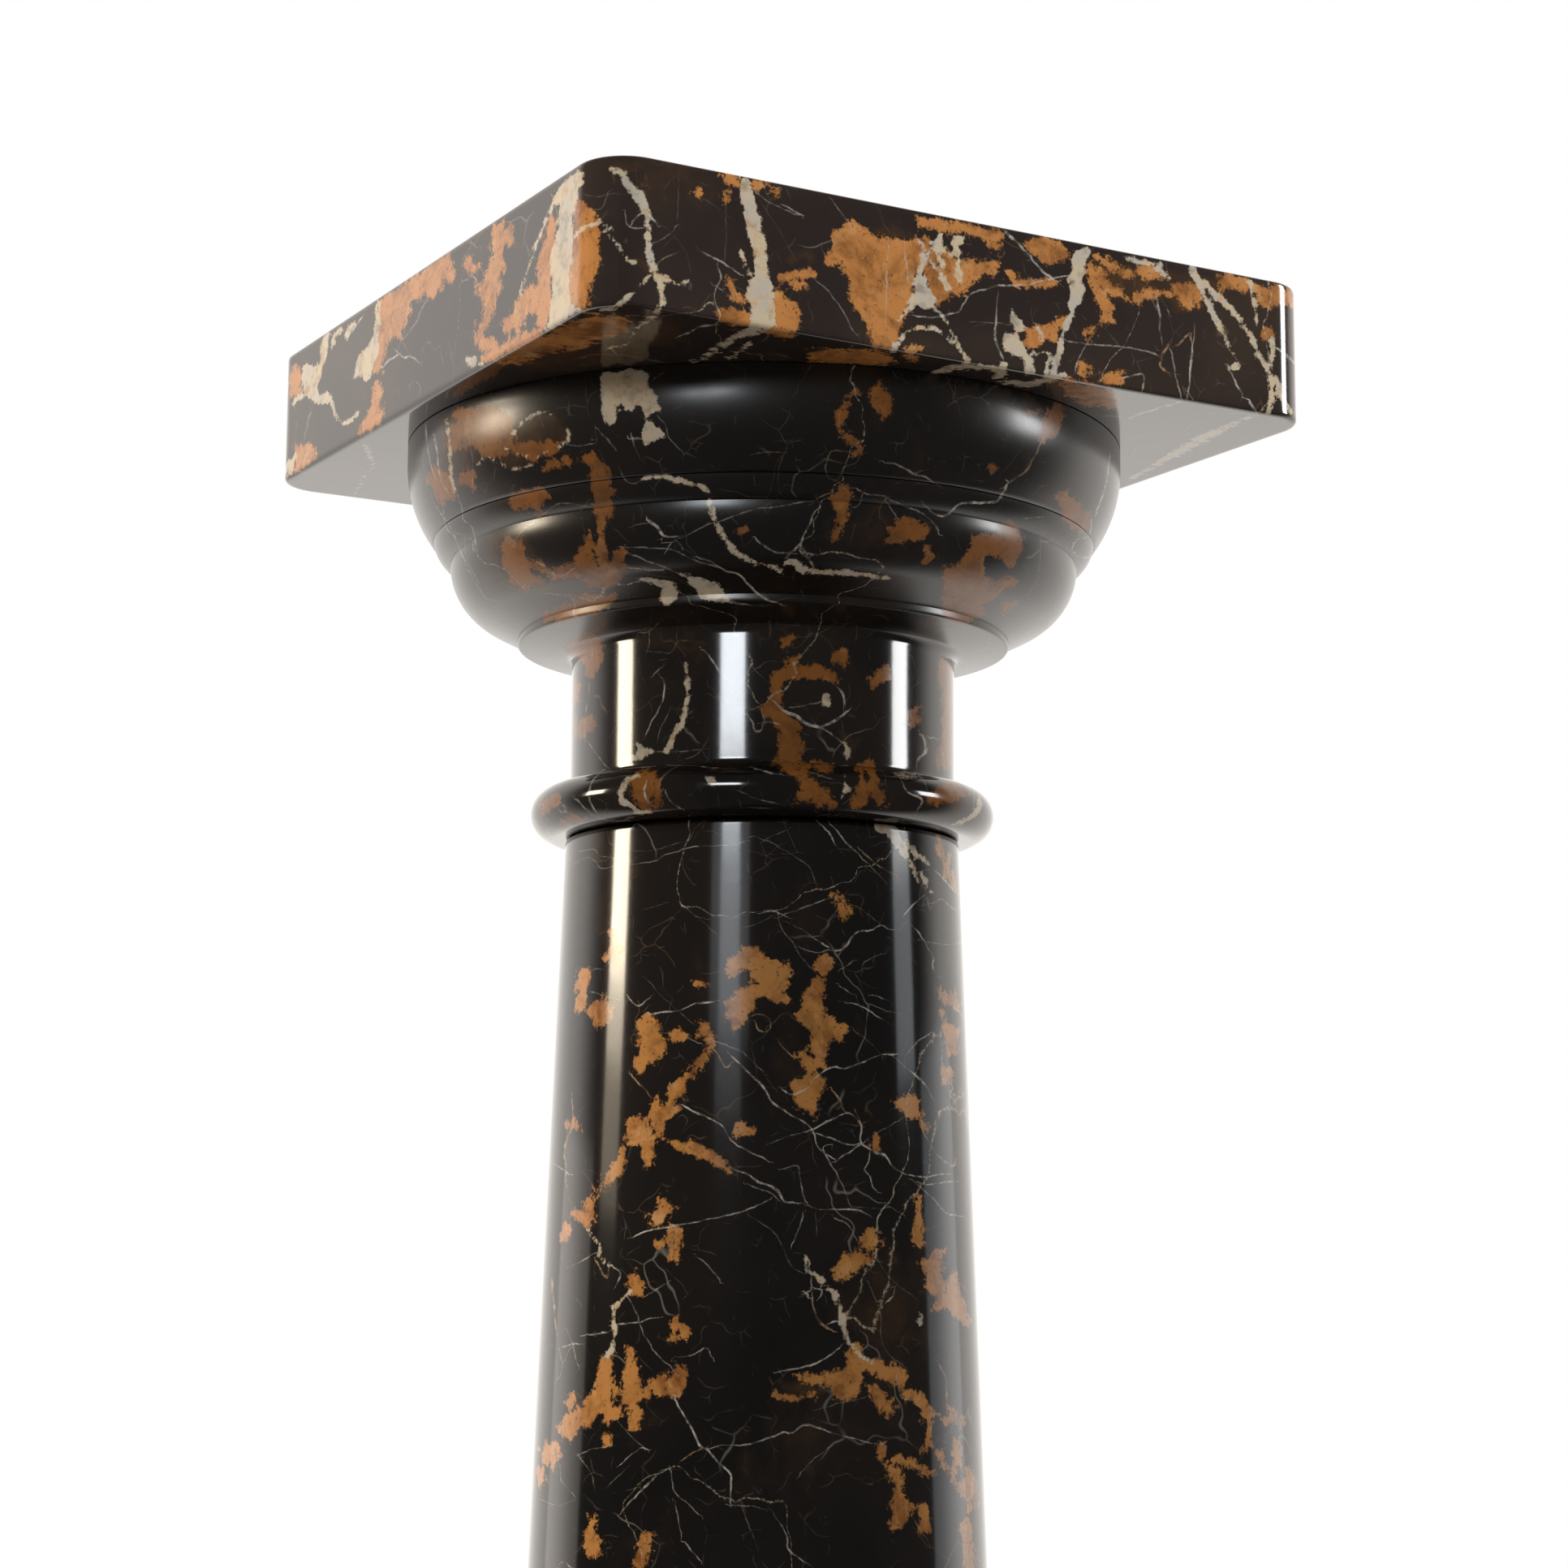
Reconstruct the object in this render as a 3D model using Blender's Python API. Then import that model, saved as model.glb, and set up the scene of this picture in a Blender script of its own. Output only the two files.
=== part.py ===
"""Marble pedestal: square plinth, turned base, tapered shaft, turned capital and square top slab.

Metres, +Z up. The origin is at the centre of the plinth's underside, on the axis of the turned stones.
"""
import math

import bmesh
import bpy

JOINT_GAP = 0.0003
ROUND_SIDES = 64
CORNER_STEPS = 6
FACET_SAG = 0.00025
FEWEST_ARC_STEPS = 2
SMOOTH_ANGLE = math.radians(32.0)
WELD = 0.00001

# Square stones
CORNER_RADIUS = 0.018
EDGE_EASE = 0.0015

# Plinth
PLINTH_SIDE = 0.320
PLINTH_HEIGHT = 0.072

# Base, from its foot up. The collar's and the bead's projections are from the shaft's foot.
TORUS_HEIGHT = 0.044
TORUS_TO_PLINTH_EDGE = 0.013
BASE_FILLET_HEIGHT = 0.006
BASE_FILLET_SETBACK = 0.012
CAVETTO_HEIGHT = 0.025
COLLAR_HEIGHT = 0.005
COLLAR_PROJECTION = 0.006
BASE_BEAD_HEIGHT = 0.016
BASE_BEAD_PROJECTION = 0.010

# Shaft
SHAFT_LENGTH = 0.690
SHAFT_FOOT_RADIUS = 0.1013
SHAFT_EASE = 0.0012

# Capital, from its foot up
ASTRAGAL_HEIGHT = 0.0194
ASTRAGAL_SEAT = 0.0055
NECK_RADIUS = 0.0745
NECK_HEIGHT = 0.0501
NECK_FOOT_COVE = 0.0018
NECK_TOP_COVE = 0.0032
SHAFT_REVEAL = 0.0016
UNDERSIDE_DROP = 0.0029
RIM_PROJECTION = 0.0211
RIM_HEIGHT = 0.0030
RIM_EASE = 0.0008
OVOLO_HEIGHT = 0.0284
OVOLO_ROUND = 0.0244
OVOLO_SWEEP = math.radians(65.7)
OVOLO_SETBACK = 0.0174
BEAD_HEIGHT = 0.0081
BEAD_PROJECTION = 0.0066
BEAD_SWEEP = math.radians(51.6)
CREASE_DEPTH = 0.0007
CREASE_HEIGHT = 0.0005
DRUM_HEIGHT = 0.0366
DRUM_STRAIGHT = 0.0067
DRUM_SWEEP = math.radians(38.3)

# Top slab. It sits a little off the axis of the turned stones, towards -Y.
SLAB_SIDE = 0.300
SLAB_THICKNESS = 0.052
SLAB_OVERHANG = 0.0103
SLAB_SHIFT_X = -0.0010
SLAB_SHIFT_Y = -0.0070

# Levels and radii that follow
TORUS_RADIUS = PLINTH_SIDE / 2 - TORUS_TO_PLINTH_EDGE
BASE_HEIGHT = TORUS_HEIGHT + BASE_FILLET_HEIGHT + CAVETTO_HEIGHT + COLLAR_HEIGHT + BASE_BEAD_HEIGHT
SHAFT_TOP_RADIUS = NECK_RADIUS + SHAFT_REVEAL
RIM_RADIUS = NECK_RADIUS + RIM_PROJECTION
DRUM_RADIUS = SLAB_SIDE / 2 - SLAB_OVERHANG
OVOLO_RADIUS = DRUM_RADIUS - OVOLO_SETBACK
ECHINUS_HEIGHT = RIM_HEIGHT + OVOLO_HEIGHT + BEAD_HEIGHT + CREASE_HEIGHT + DRUM_HEIGHT
CAPITAL_HEIGHT = ASTRAGAL_HEIGHT + NECK_HEIGHT + NECK_TOP_COVE + UNDERSIDE_DROP + ECHINUS_HEIGHT
BASE_Z = PLINTH_HEIGHT + JOINT_GAP
SHAFT_Z = BASE_Z + BASE_HEIGHT + JOINT_GAP
CAPITAL_Z = SHAFT_Z + SHAFT_LENGTH + JOINT_GAP
SLAB_Z = CAPITAL_Z + CAPITAL_HEIGHT + JOINT_GAP


def arc(centre, radii, start, end):
    """Points on an elliptical arc in the (radius, height) plane, from one angle to the other, in radians.

    Angle 0 points away from the axis, and angles grow upwards. The facets keep within FACET_SAG of the arc.
    """
    facet_turn = 2 * math.acos(1 - FACET_SAG / max(radii))
    steps = max(FEWEST_ARC_STEPS, round(abs(end - start) / facet_turn))
    angles = [start + (end - start) * step / steps for step in range(steps + 1)]
    return [(centre[0] + radii[0] * math.cos(a), centre[1] + radii[1] * math.sin(a)) for a in angles]


def bulge(low, high, sweep):
    """Points on the outward arc that joins two (radius, height) points, low to high, turning through the sweep."""
    chord = math.dist(low, high)
    radius = chord / 2 / math.sin(sweep / 2)
    middle = ((low[0] + high[0]) / 2, (low[1] + high[1]) / 2)
    along = ((high[0] - low[0]) / chord, (high[1] - low[1]) / chord)
    reach = radius * math.cos(sweep / 2)
    centre = (middle[0] - along[1] * reach, middle[1] + along[0] * reach)
    start = math.atan2(low[1] - centre[1], low[0] - centre[0])
    return arc(centre, (radius, radius), start, start + sweep)


def marble(name, colour, roughness):
    """Polished marble of one colour."""
    material = bpy.data.materials.new(name)
    material.use_nodes = True
    shader = material.node_tree.nodes["Principled BSDF"]
    shader.inputs["Base Color"].default_value = (*colour, 1.0)
    shader.inputs["Roughness"].default_value = roughness
    shader.inputs["Metallic"].default_value = 0.0
    material.diffuse_color = (*colour, 1.0)
    return material


def add_stone(name, bm, location, material, parent):
    """Makes a named stone from a closed bmesh and sets it in place."""
    bmesh.ops.remove_doubles(bm, verts=bm.verts, dist=WELD)
    bmesh.ops.recalc_face_normals(bm, faces=bm.faces)
    mesh = bpy.data.meshes.new(name)
    bm.to_mesh(mesh)
    bm.free()
    mesh.materials.append(material)
    mesh.shade_smooth()
    mesh.set_sharp_from_angle(angle=SMOOTH_ANGLE)
    stone = bpy.data.objects.new(name, mesh)
    stone.location = location
    stone.parent = parent
    bpy.context.scene.collection.objects.link(stone)
    return stone


def turned_stone(name, outline, height, material, parent):
    """A stone turned on the Z axis. The outline lists (radius, height) from the foot's axis to the top's."""
    bm = bmesh.new()
    closed_outline = [(0.0, outline[0][1]), *outline, (0.0, outline[-1][1])]
    points = [bm.verts.new((radius, 0.0, z)) for radius, z in closed_outline]
    wire = [bm.edges.new(pair) for pair in zip(points, points[1:])]
    bmesh.ops.spin(bm, geom=points + wire, cent=(0, 0, 0), axis=(0, 0, 1), angle=math.tau, steps=ROUND_SIDES,
                   use_merge=True)
    return add_stone(name, bm, (0, 0, height), material, parent)


def square_outline(side, inset):
    """Points of a square with rounded corners, anticlockwise, moved in by the inset."""
    half = side / 2 - CORNER_RADIUS
    radius = CORNER_RADIUS - inset
    points = []
    for corner, (sign_x, sign_y) in enumerate(((1, 1), (-1, 1), (-1, -1), (1, -1))):
        for step in range(CORNER_STEPS + 1):
            angle = math.pi / 2 * (corner + step / CORNER_STEPS)
            points.append((sign_x * half + radius * math.cos(angle), sign_y * half + radius * math.sin(angle)))
    return points


def square_stone(name, side, height, location, material, parent):
    """A square stone with rounded upright corners and eased top and bottom edges."""
    bm = bmesh.new()
    levels = ((0.0, EDGE_EASE), (EDGE_EASE, 0.0), (height - EDGE_EASE, 0.0), (height, EDGE_EASE))
    rings = []
    for z, inset in levels:
        ring = [bm.verts.new((x, y, z)) for x, y in square_outline(side, inset)]
        rings.append([bm.edges.new(pair) for pair in zip(ring, ring[1:] + ring[:1])])
    for lower, upper in zip(rings, rings[1:]):
        bmesh.ops.bridge_loops(bm, edges=lower + upper)
    for cap in (rings[0], rings[-1]):
        bmesh.ops.edgeloop_fill(bm, edges=cap)
    return add_stone(name, bm, location, material, parent)


def base_outline():
    """The base from its foot up: torus, fillet, cavetto, collar and bead."""
    half_torus = TORUS_HEIGHT / 2
    torus = arc((TORUS_RADIUS - half_torus, half_torus), (half_torus, half_torus), -math.pi / 2, math.pi / 2)
    fillet_radius = TORUS_RADIUS - BASE_FILLET_SETBACK
    fillet_foot = TORUS_HEIGHT
    fillet_top = fillet_foot + BASE_FILLET_HEIGHT
    collar_radius = SHAFT_FOOT_RADIUS + COLLAR_PROJECTION
    cavetto_top = fillet_top + CAVETTO_HEIGHT
    cavetto = arc((fillet_radius, cavetto_top), (fillet_radius - collar_radius, CAVETTO_HEIGHT), -math.pi / 2,
                  -math.pi)
    collar_top = cavetto_top + COLLAR_HEIGHT
    half_bead = BASE_BEAD_HEIGHT / 2
    bead_centre = SHAFT_FOOT_RADIUS + BASE_BEAD_PROJECTION - half_bead
    bead = arc((bead_centre, collar_top + half_bead), (half_bead, half_bead), -math.pi / 2, math.pi / 2)
    return [*torus, (fillet_radius, fillet_foot), *cavetto, (collar_radius, collar_top), *bead]


def shaft_outline():
    """The shaft from its foot up: straight sides that taper, with both edges eased."""
    return [(SHAFT_FOOT_RADIUS - SHAFT_EASE, 0.0), (SHAFT_FOOT_RADIUS, SHAFT_EASE),
            (SHAFT_TOP_RADIUS, SHAFT_LENGTH - SHAFT_EASE), (SHAFT_TOP_RADIUS - SHAFT_EASE, SHAFT_LENGTH)]


def capital_outline():
    """The capital from its foot up: astragal, neck, rim, ovolo, bead and drum."""
    half_astragal = ASTRAGAL_HEIGHT / 2
    astragal_centre = NECK_RADIUS + ASTRAGAL_SEAT
    astragal = arc((astragal_centre, half_astragal), (half_astragal, half_astragal), -math.pi / 2, math.pi / 2)
    neck_foot = ASTRAGAL_HEIGHT
    foot_cove = arc((NECK_RADIUS + NECK_FOOT_COVE, neck_foot + NECK_FOOT_COVE), (NECK_FOOT_COVE, NECK_FOOT_COVE),
                    -math.pi / 2, -math.pi)
    neck_top = neck_foot + NECK_HEIGHT
    top_cove = arc((NECK_RADIUS + NECK_TOP_COVE, neck_top), (NECK_TOP_COVE, NECK_TOP_COVE), math.pi, math.pi / 2)
    rim_foot = neck_top + NECK_TOP_COVE + UNDERSIDE_DROP
    rim_top = rim_foot + RIM_HEIGHT
    ovolo_top = rim_top + OVOLO_HEIGHT
    ovolo = arc((OVOLO_RADIUS - OVOLO_ROUND, ovolo_top), (OVOLO_ROUND, OVOLO_ROUND), -OVOLO_SWEEP, 0.0)
    bead_top = ovolo_top + BEAD_HEIGHT
    bead = bulge((OVOLO_RADIUS, ovolo_top), (OVOLO_RADIUS + BEAD_PROJECTION, bead_top), BEAD_SWEEP)
    crease = (OVOLO_RADIUS + BEAD_PROJECTION - CREASE_DEPTH, bead_top + CREASE_HEIGHT / 2)
    drum_foot = bead_top + CREASE_HEIGHT
    drum_top = drum_foot + DRUM_HEIGHT
    drum_round = (DRUM_HEIGHT - DRUM_STRAIGHT) / math.sin(DRUM_SWEEP)
    drum = arc((DRUM_RADIUS - drum_round, drum_top - DRUM_STRAIGHT), (drum_round, drum_round), -DRUM_SWEEP, 0.0)
    return [*astragal, *foot_cove, *top_cove, (RIM_RADIUS - RIM_EASE, rim_foot), (RIM_RADIUS, rim_foot + RIM_EASE),
            (RIM_RADIUS, rim_top), *ovolo, *bead[1:], crease, *drum, (DRUM_RADIUS, drum_top)]


def build():
    """Clears the scene and builds the pedestal from the ground up."""
    for old in list(bpy.data.objects):
        bpy.data.objects.remove(old, do_unlink=True)
    pedestal = bpy.data.objects.new("marble_pedestal", None)
    bpy.context.scene.collection.objects.link(pedestal)

    square_stone("plinth", PLINTH_SIDE, PLINTH_HEIGHT, (0, 0, 0), marble("plinth_marble", (0.050, 0.034, 0.027), 0.12),
                 pedestal)
    turned_stone("base", base_outline(), BASE_Z, marble("base_marble", (0.046, 0.032, 0.026), 0.10), pedestal)
    turned_stone("shaft", shaft_outline(), SHAFT_Z, marble("shaft_marble", (0.034, 0.024, 0.021), 0.10), pedestal)
    turned_stone("capital", capital_outline(), CAPITAL_Z, marble("capital_marble", (0.040, 0.028, 0.023), 0.10),
                 pedestal)
    square_stone("top_slab", SLAB_SIDE, SLAB_THICKNESS, (SLAB_SHIFT_X, SLAB_SHIFT_Y, SLAB_Z),
                 marble("top_slab_marble", (0.062, 0.040, 0.029), 0.12), pedestal)


build()
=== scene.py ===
"""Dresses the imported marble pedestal: fine turned and square stones in black and gold marble, in a soft studio.

Metres, +Z up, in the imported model's frame. Patches and veins that the photograph shows are traced in its pixels
and cast onto the stones through the same camera that the picture is taken with.
"""
import logging
import math
from dataclasses import dataclass
from enum import Enum

import bpy
import numpy as np
from mathutils import Matrix, Vector


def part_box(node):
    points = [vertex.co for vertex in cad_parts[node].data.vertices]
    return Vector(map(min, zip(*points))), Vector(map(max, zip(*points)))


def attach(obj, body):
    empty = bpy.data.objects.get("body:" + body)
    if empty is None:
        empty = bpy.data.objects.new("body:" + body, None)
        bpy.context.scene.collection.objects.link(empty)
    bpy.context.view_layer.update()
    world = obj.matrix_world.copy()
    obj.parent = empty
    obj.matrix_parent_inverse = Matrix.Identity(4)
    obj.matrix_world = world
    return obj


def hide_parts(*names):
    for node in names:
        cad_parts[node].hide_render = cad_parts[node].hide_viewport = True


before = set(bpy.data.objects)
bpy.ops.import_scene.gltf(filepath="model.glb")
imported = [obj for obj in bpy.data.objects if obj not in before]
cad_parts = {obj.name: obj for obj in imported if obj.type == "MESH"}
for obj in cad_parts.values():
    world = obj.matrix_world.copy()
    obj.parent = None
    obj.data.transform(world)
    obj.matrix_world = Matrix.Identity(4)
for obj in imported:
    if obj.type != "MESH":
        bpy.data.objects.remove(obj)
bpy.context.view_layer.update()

IMAGE_SIDE = 1932
SENSOR_WIDTH = 36.0
MM_PER_M = 1000.0
SHARP_ANGLE = 50.0
# The mix node's sockets share their names, so they go by number: for two colours, then for two plain numbers.
MIX_SHARE, MIX_FIRST, MIX_SECOND, MIXED_COLOUR = 0, 6, 7, 2
MIX_FIRST_NUMBER, MIX_SECOND_NUMBER, MIXED_NUMBER = 2, 3, 0

Socket = bpy.types.NodeSocket
Point = tuple[float, float]
Colour = tuple[float, float, float]

log = logging.getLogger("marble_pedestal")


class Tone(Enum):
    """What a traced patch or vein is made of."""

    GOLD = "gold"
    CREAM = "cream"
    BROWN = "brown"
    DARK = "dark"
    WHITE = "white"
    TAN = "tan"


@dataclass(frozen=True)
class Patch:
    """A patch of one tone, traced round its edge.

    Args:
        tone: what the patch is made of.
        outline: its corners in order, in pixels of the photograph, as x, y, x, y and so on.
    """

    tone: Tone
    outline: tuple[float, ...]


@dataclass(frozen=True)
class Band:
    """A wide vein, traced along its middle.

    Args:
        tone: what the vein is made of.
        path: points along its middle, in pixels of the photograph, as x, y, x, y and so on.
        widths: its full width in pixels at even steps along the path.
    """

    tone: Tone
    path: tuple[float, ...]
    widths: tuple[float, ...]


@dataclass(frozen=True)
class Vein:
    """A thin vein or crack, traced along its middle.

    Args:
        path: points along its middle, in pixels of the photograph, as x, y, x, y and so on.
        widths: its full width in pixels at even steps along the path.
        tone: white for calcite, tan for stained calcite.
    """

    path: tuple[float, ...]
    widths: tuple[float, ...] = (0.6, 1.6, 0.6)
    tone: Tone = Tone.WHITE


def patches(tone: Tone, *outlines: tuple[float, ...]) -> tuple[Patch, ...]:
    """Makes several patches of one tone."""
    return tuple(Patch(tone, outline) for outline in outlines)


def veins(widths: tuple[float, ...], *paths: tuple[float, ...]) -> tuple[Vein, ...]:
    """Makes several white veins of the same widths."""
    return tuple(Vein(path, widths) for path in paths)


def tan_veins(widths: tuple[float, ...], *paths: tuple[float, ...]) -> tuple[Vein, ...]:
    """Makes several tan veins of the same widths."""
    return tuple(Vein(path, widths, Tone.TAN) for path in paths)


@dataclass(frozen=True)
class PhotoCamera:
    """The camera that the photograph was taken with, as solved from the slab's edges and the turned rings.

    Args:
        place: the lens's place, in metres.
        heading: the way it looks, in degrees from +Y towards +X.
        pitch: how far it looks up, in degrees.
        roll: how far it leans, in degrees.
        lens: its focal length in millimetres, for a sensor of SENSOR_WIDTH.
    """

    place: tuple[float, float, float] = (-0.5957, -1.0527, 0.7017)
    heading: float = 29.902
    pitch: float = 8.491
    roll: float = 0.283
    lens: float = 72.24

    def axes(self) -> tuple[np.ndarray, np.ndarray, np.ndarray]:
        """Gives the picture's directions in space.

        Returns:
            The unit vectors to the picture's right, to its top, and ahead.
        """
        heading, pitch, roll = (math.radians(a) for a in (self.heading, self.pitch, self.roll))
        ahead = np.array([math.sin(heading) * math.cos(pitch), math.cos(heading) * math.cos(pitch), math.sin(pitch)])
        level = np.cross(ahead, (0.0, 0.0, 1.0))
        level /= np.linalg.norm(level)
        upright = np.cross(level, ahead)
        right = level * math.cos(roll) + upright * math.sin(roll)
        top = upright * math.cos(roll) - level * math.sin(roll)
        return right, top, ahead

    def project(self, points: np.ndarray) -> tuple[np.ndarray, np.ndarray]:
        """Casts points into the photograph.

        Args:
            points: places in metres, one a row.

        Returns:
            Their pixels, one pair a row, and how many metres one pixel spans at each.
        """
        right, top, ahead = self.axes()
        focal = self.lens / SENSOR_WIDTH * IMAGE_SIDE
        offsets = points - np.array(self.place)
        depth = offsets @ ahead
        centre = IMAGE_SIDE / 2
        pixels = np.stack([centre + focal * (offsets @ right) / depth, centre - focal * (offsets @ top) / depth], 1)
        return pixels, depth / focal

    def facing(self, points: np.ndarray, normals: np.ndarray) -> np.ndarray:
        """Says how squarely a surface faces the camera.

        Args:
            points: places on the surface, one a row.
            normals: the surface's outward direction at each.

        Returns:
            1 where it faces the lens, 0 where it is edge on, negative where it is turned away.
        """
        towards = np.array(self.place) - points
        towards /= np.linalg.norm(towards, axis=1, keepdims=True)
        return np.einsum("ij,ij->i", towards, normals)

    def set_up(self) -> bpy.types.Object:
        """Makes the scene's camera.

        Returns:
            The camera's object.
        """
        data = bpy.data.cameras.new("photo_camera")
        data.lens = self.lens
        data.sensor_width = SENSOR_WIDTH
        camera = bpy.data.objects.new("photo_camera", data)
        right, top, ahead = self.axes()
        turn = Matrix([right, top, -ahead]).transposed()
        camera.matrix_world = Matrix.Translation(self.place) @ turn.to_4x4()
        bpy.context.scene.collection.objects.link(camera)
        bpy.context.scene.camera = camera
        return camera


def smooth_path(path: tuple[float, ...], step: float) -> np.ndarray:
    """Draws a smooth curve through traced points.

    Args:
        path: the traced points, as x, y, x, y and so on.
        step: the rough spacing of the result, in the same units.

    Returns:
        Points on the curve, one a row.
    """
    points = np.array(path, float).reshape(-1, 2)
    padded = np.vstack([2 * points[0] - points[1], points, 2 * points[-1] - points[-2]])
    drawn = [points[:1]]
    for a, b, c, d in zip(padded, padded[1:], padded[2:], padded[3:]):
        count = max(1, int(np.linalg.norm(c - b) / step))
        t = (np.arange(count) + 1)[:, None] / count
        drawn.append(0.5 * (2 * b + (c - a) * t + (2 * a - 5 * b + 4 * c - d) * t**2 + (3 * b - a - 3 * c + d) * t**3))
    return np.vstack(drawn)


@dataclass
class Tracing:
    """Turns traced patches and veins into fields on a stone's points.

    Each patch tone becomes one field: the distance to its edge in millimetres, positive inside. Thin veins are
    shared out among a few vein fields, so that no two near each other are in one. A vein field holds the signed
    distance across the vein, how deep the point is inside the vein's reach, and half the vein's width, which is
    negative for a tan vein.

    Args:
        camera: the camera that the features were traced through.
        vein_fields: how many vein fields there are.
        reach: how far from a vein its field is kept, in pixels.
        path_step: the spacing of a drawn vein's points, in pixels.
        farthest: the value of a patch field far from any patch, in pixels, negative.
        edge_on: how squarely a point has to face the lens to begin to be seen.
        edge_fade: how much more squarely until it is fully seen.
        below: how far under the photograph's edge the tracing reaches, in pixels.
        below_fade: over how many pixels it fades there.
    """

    camera: PhotoCamera
    vein_fields: int = 4
    reach: float = 14.0
    path_step: float = 3.0
    farthest: float = -24.0
    edge_on: float = -0.02
    edge_fade: float = 0.14
    below: float = 40.0
    below_fade: float = 60.0

    def fields(self, points: np.ndarray, normals: np.ndarray, features: tuple) -> dict[str, np.ndarray]:
        """Works out every field of one stone.

        Args:
            points: the stone's points, one a row.
            normals: the outward direction at each.
            features: the stone's patches, bands and veins.

        Returns:
            The fields by name: one number or three a point.
        """
        pixels, span = self.camera.project(points)
        facing = self.camera.facing(points, normals)
        seen = np.clip((facing - self.edge_on) / self.edge_fade, 0.0, 1.0)
        in_frame = np.clip((IMAGE_SIDE + self.below - pixels[:, 1]) / self.below_fade, 0.0, 1.0)
        shown = seen * in_frame
        scale = span * MM_PER_M
        fields = {"shown": shown}
        for tone in (Tone.GOLD, Tone.CREAM, Tone.BROWN, Tone.DARK):
            edge = np.full(len(points), self.farthest)
            for feature in features:
                if isinstance(feature, Patch) and feature.tone is tone:
                    self._lay_patch(edge, pixels, feature)
                elif isinstance(feature, Band) and feature.tone is tone:
                    self._lay_band(edge, pixels, feature)
            fields[tone.value] = np.minimum(edge, (shown - 0.5) * -2 * self.farthest) * scale
        for tone in (Tone.GOLD, Tone.CREAM, Tone.BROWN):
            fields[tone.value] = np.minimum(fields[tone.value], -fields[Tone.DARK.value])
        del fields[Tone.DARK.value]
        veins = [feature for feature in features if isinstance(feature, Vein)]
        for number, chosen in enumerate(self._share_out(veins)):
            fields[f"veins_{number}"] = self._vein_field(pixels, scale, shown, chosen)
        return fields

    def _near(self, pixels: np.ndarray, path: np.ndarray, margin: float) -> np.ndarray:
        """Gives the numbers of the pixels in a path's box, with a margin."""
        low, high = path.min(0) - margin, path.max(0) + margin
        return np.nonzero(((pixels > low) & (pixels < high)).all(1))[0]

    def _nearest(self, pixels: np.ndarray, path: np.ndarray) -> tuple[np.ndarray, np.ndarray]:
        """Finds the nearest place on a path.

        Args:
            pixels: the pixels to start from, one pair a row.
            path: the path's points, one a row.

        Returns:
            The distance, positive to one side of the path and negative to the other, and how far along the path
            the nearest place is, from 0 to 1.
        """
        best = np.full(len(pixels), np.inf)
        side = np.ones(len(pixels))
        along = np.zeros(len(pixels))
        steps = len(path) - 1
        for number, (start, end) in enumerate(zip(path, path[1:])):
            run = end - start
            offset = pixels - start
            part = np.clip(offset @ run / max(run @ run, 1e-9), 0.0, 1.0)
            distance = np.hypot(*(offset - part[:, None] * run).T)
            nearer = distance < best
            best = np.where(nearer, distance, best)
            across = run[0] * offset[:, 1] - run[1] * offset[:, 0]
            side = np.where(nearer, np.where(across < 0, -1.0, 1.0), side)
            along = np.where(nearer, (number + part) / steps, along)
        return best * side, along

    def _lay_patch(self, edge: np.ndarray, pixels: np.ndarray, patch: Patch) -> None:
        """Adds a patch to its tone's field, by the distance to its outline.

        Args:
            edge: the field, changed here.
            pixels: the stone's points in the photograph.
            patch: the patch.
        """
        outline = np.array(patch.outline + patch.outline[:2], float).reshape(-1, 2)
        near = self._near(pixels, outline, -self.farthest)
        if len(near) == 0:
            return
        here = pixels[near]
        distance = np.abs(self._nearest(here, outline)[0])
        inside = np.zeros(len(near), bool)
        for (x0, y0), (x1, y1) in zip(outline, outline[1:]):
            if y0 != y1:
                crosses = (here[:, 1] < y0) != (here[:, 1] < y1)
                inside ^= crosses & (here[:, 0] < x0 + (here[:, 1] - y0) * (x1 - x0) / (y1 - y0))
        edge[near] = np.maximum(edge[near], np.where(inside, distance, -distance))

    def _lay_band(self, edge: np.ndarray, pixels: np.ndarray, band: Band) -> None:
        """Adds a band to its tone's field, by half its width less the distance to its middle.

        Args:
            edge: the field, changed here.
            pixels: the stone's points in the photograph.
            band: the band.
        """
        path = smooth_path(band.path, self.path_step)
        near = self._near(pixels, path, -self.farthest)
        if len(near) == 0:
            return
        distance, along = self._nearest(pixels[near], path)
        half = np.interp(along, np.linspace(0, 1, len(band.widths)), band.widths) / 2
        edge[near] = np.maximum(edge[near], half - np.abs(distance))

    def _share_out(self, veins: list[Vein]) -> list[list[tuple[Vein, np.ndarray]]]:
        """Shares veins out so that those in one field keep clear of each other.

        Args:
            veins: the stone's thin veins.

        Returns:
            For each vein field, its veins with their drawn paths.
        """
        shares: list[list[tuple[Vein, np.ndarray]]] = [[] for _ in range(self.vein_fields)]
        for vein in veins:
            path = smooth_path(vein.path, self.path_step)
            room = []
            for share in shares:
                gaps = [np.hypot(*(path[:, None] - other[None]).transpose(2, 0, 1)).min() for _, other in share]
                room.append(min(gaps, default=np.inf))
            free = [number for number, gap in enumerate(room) if gap > self.reach]
            shares[free[0] if free else int(np.argmax(room))].append((vein, path))
        return shares

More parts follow.
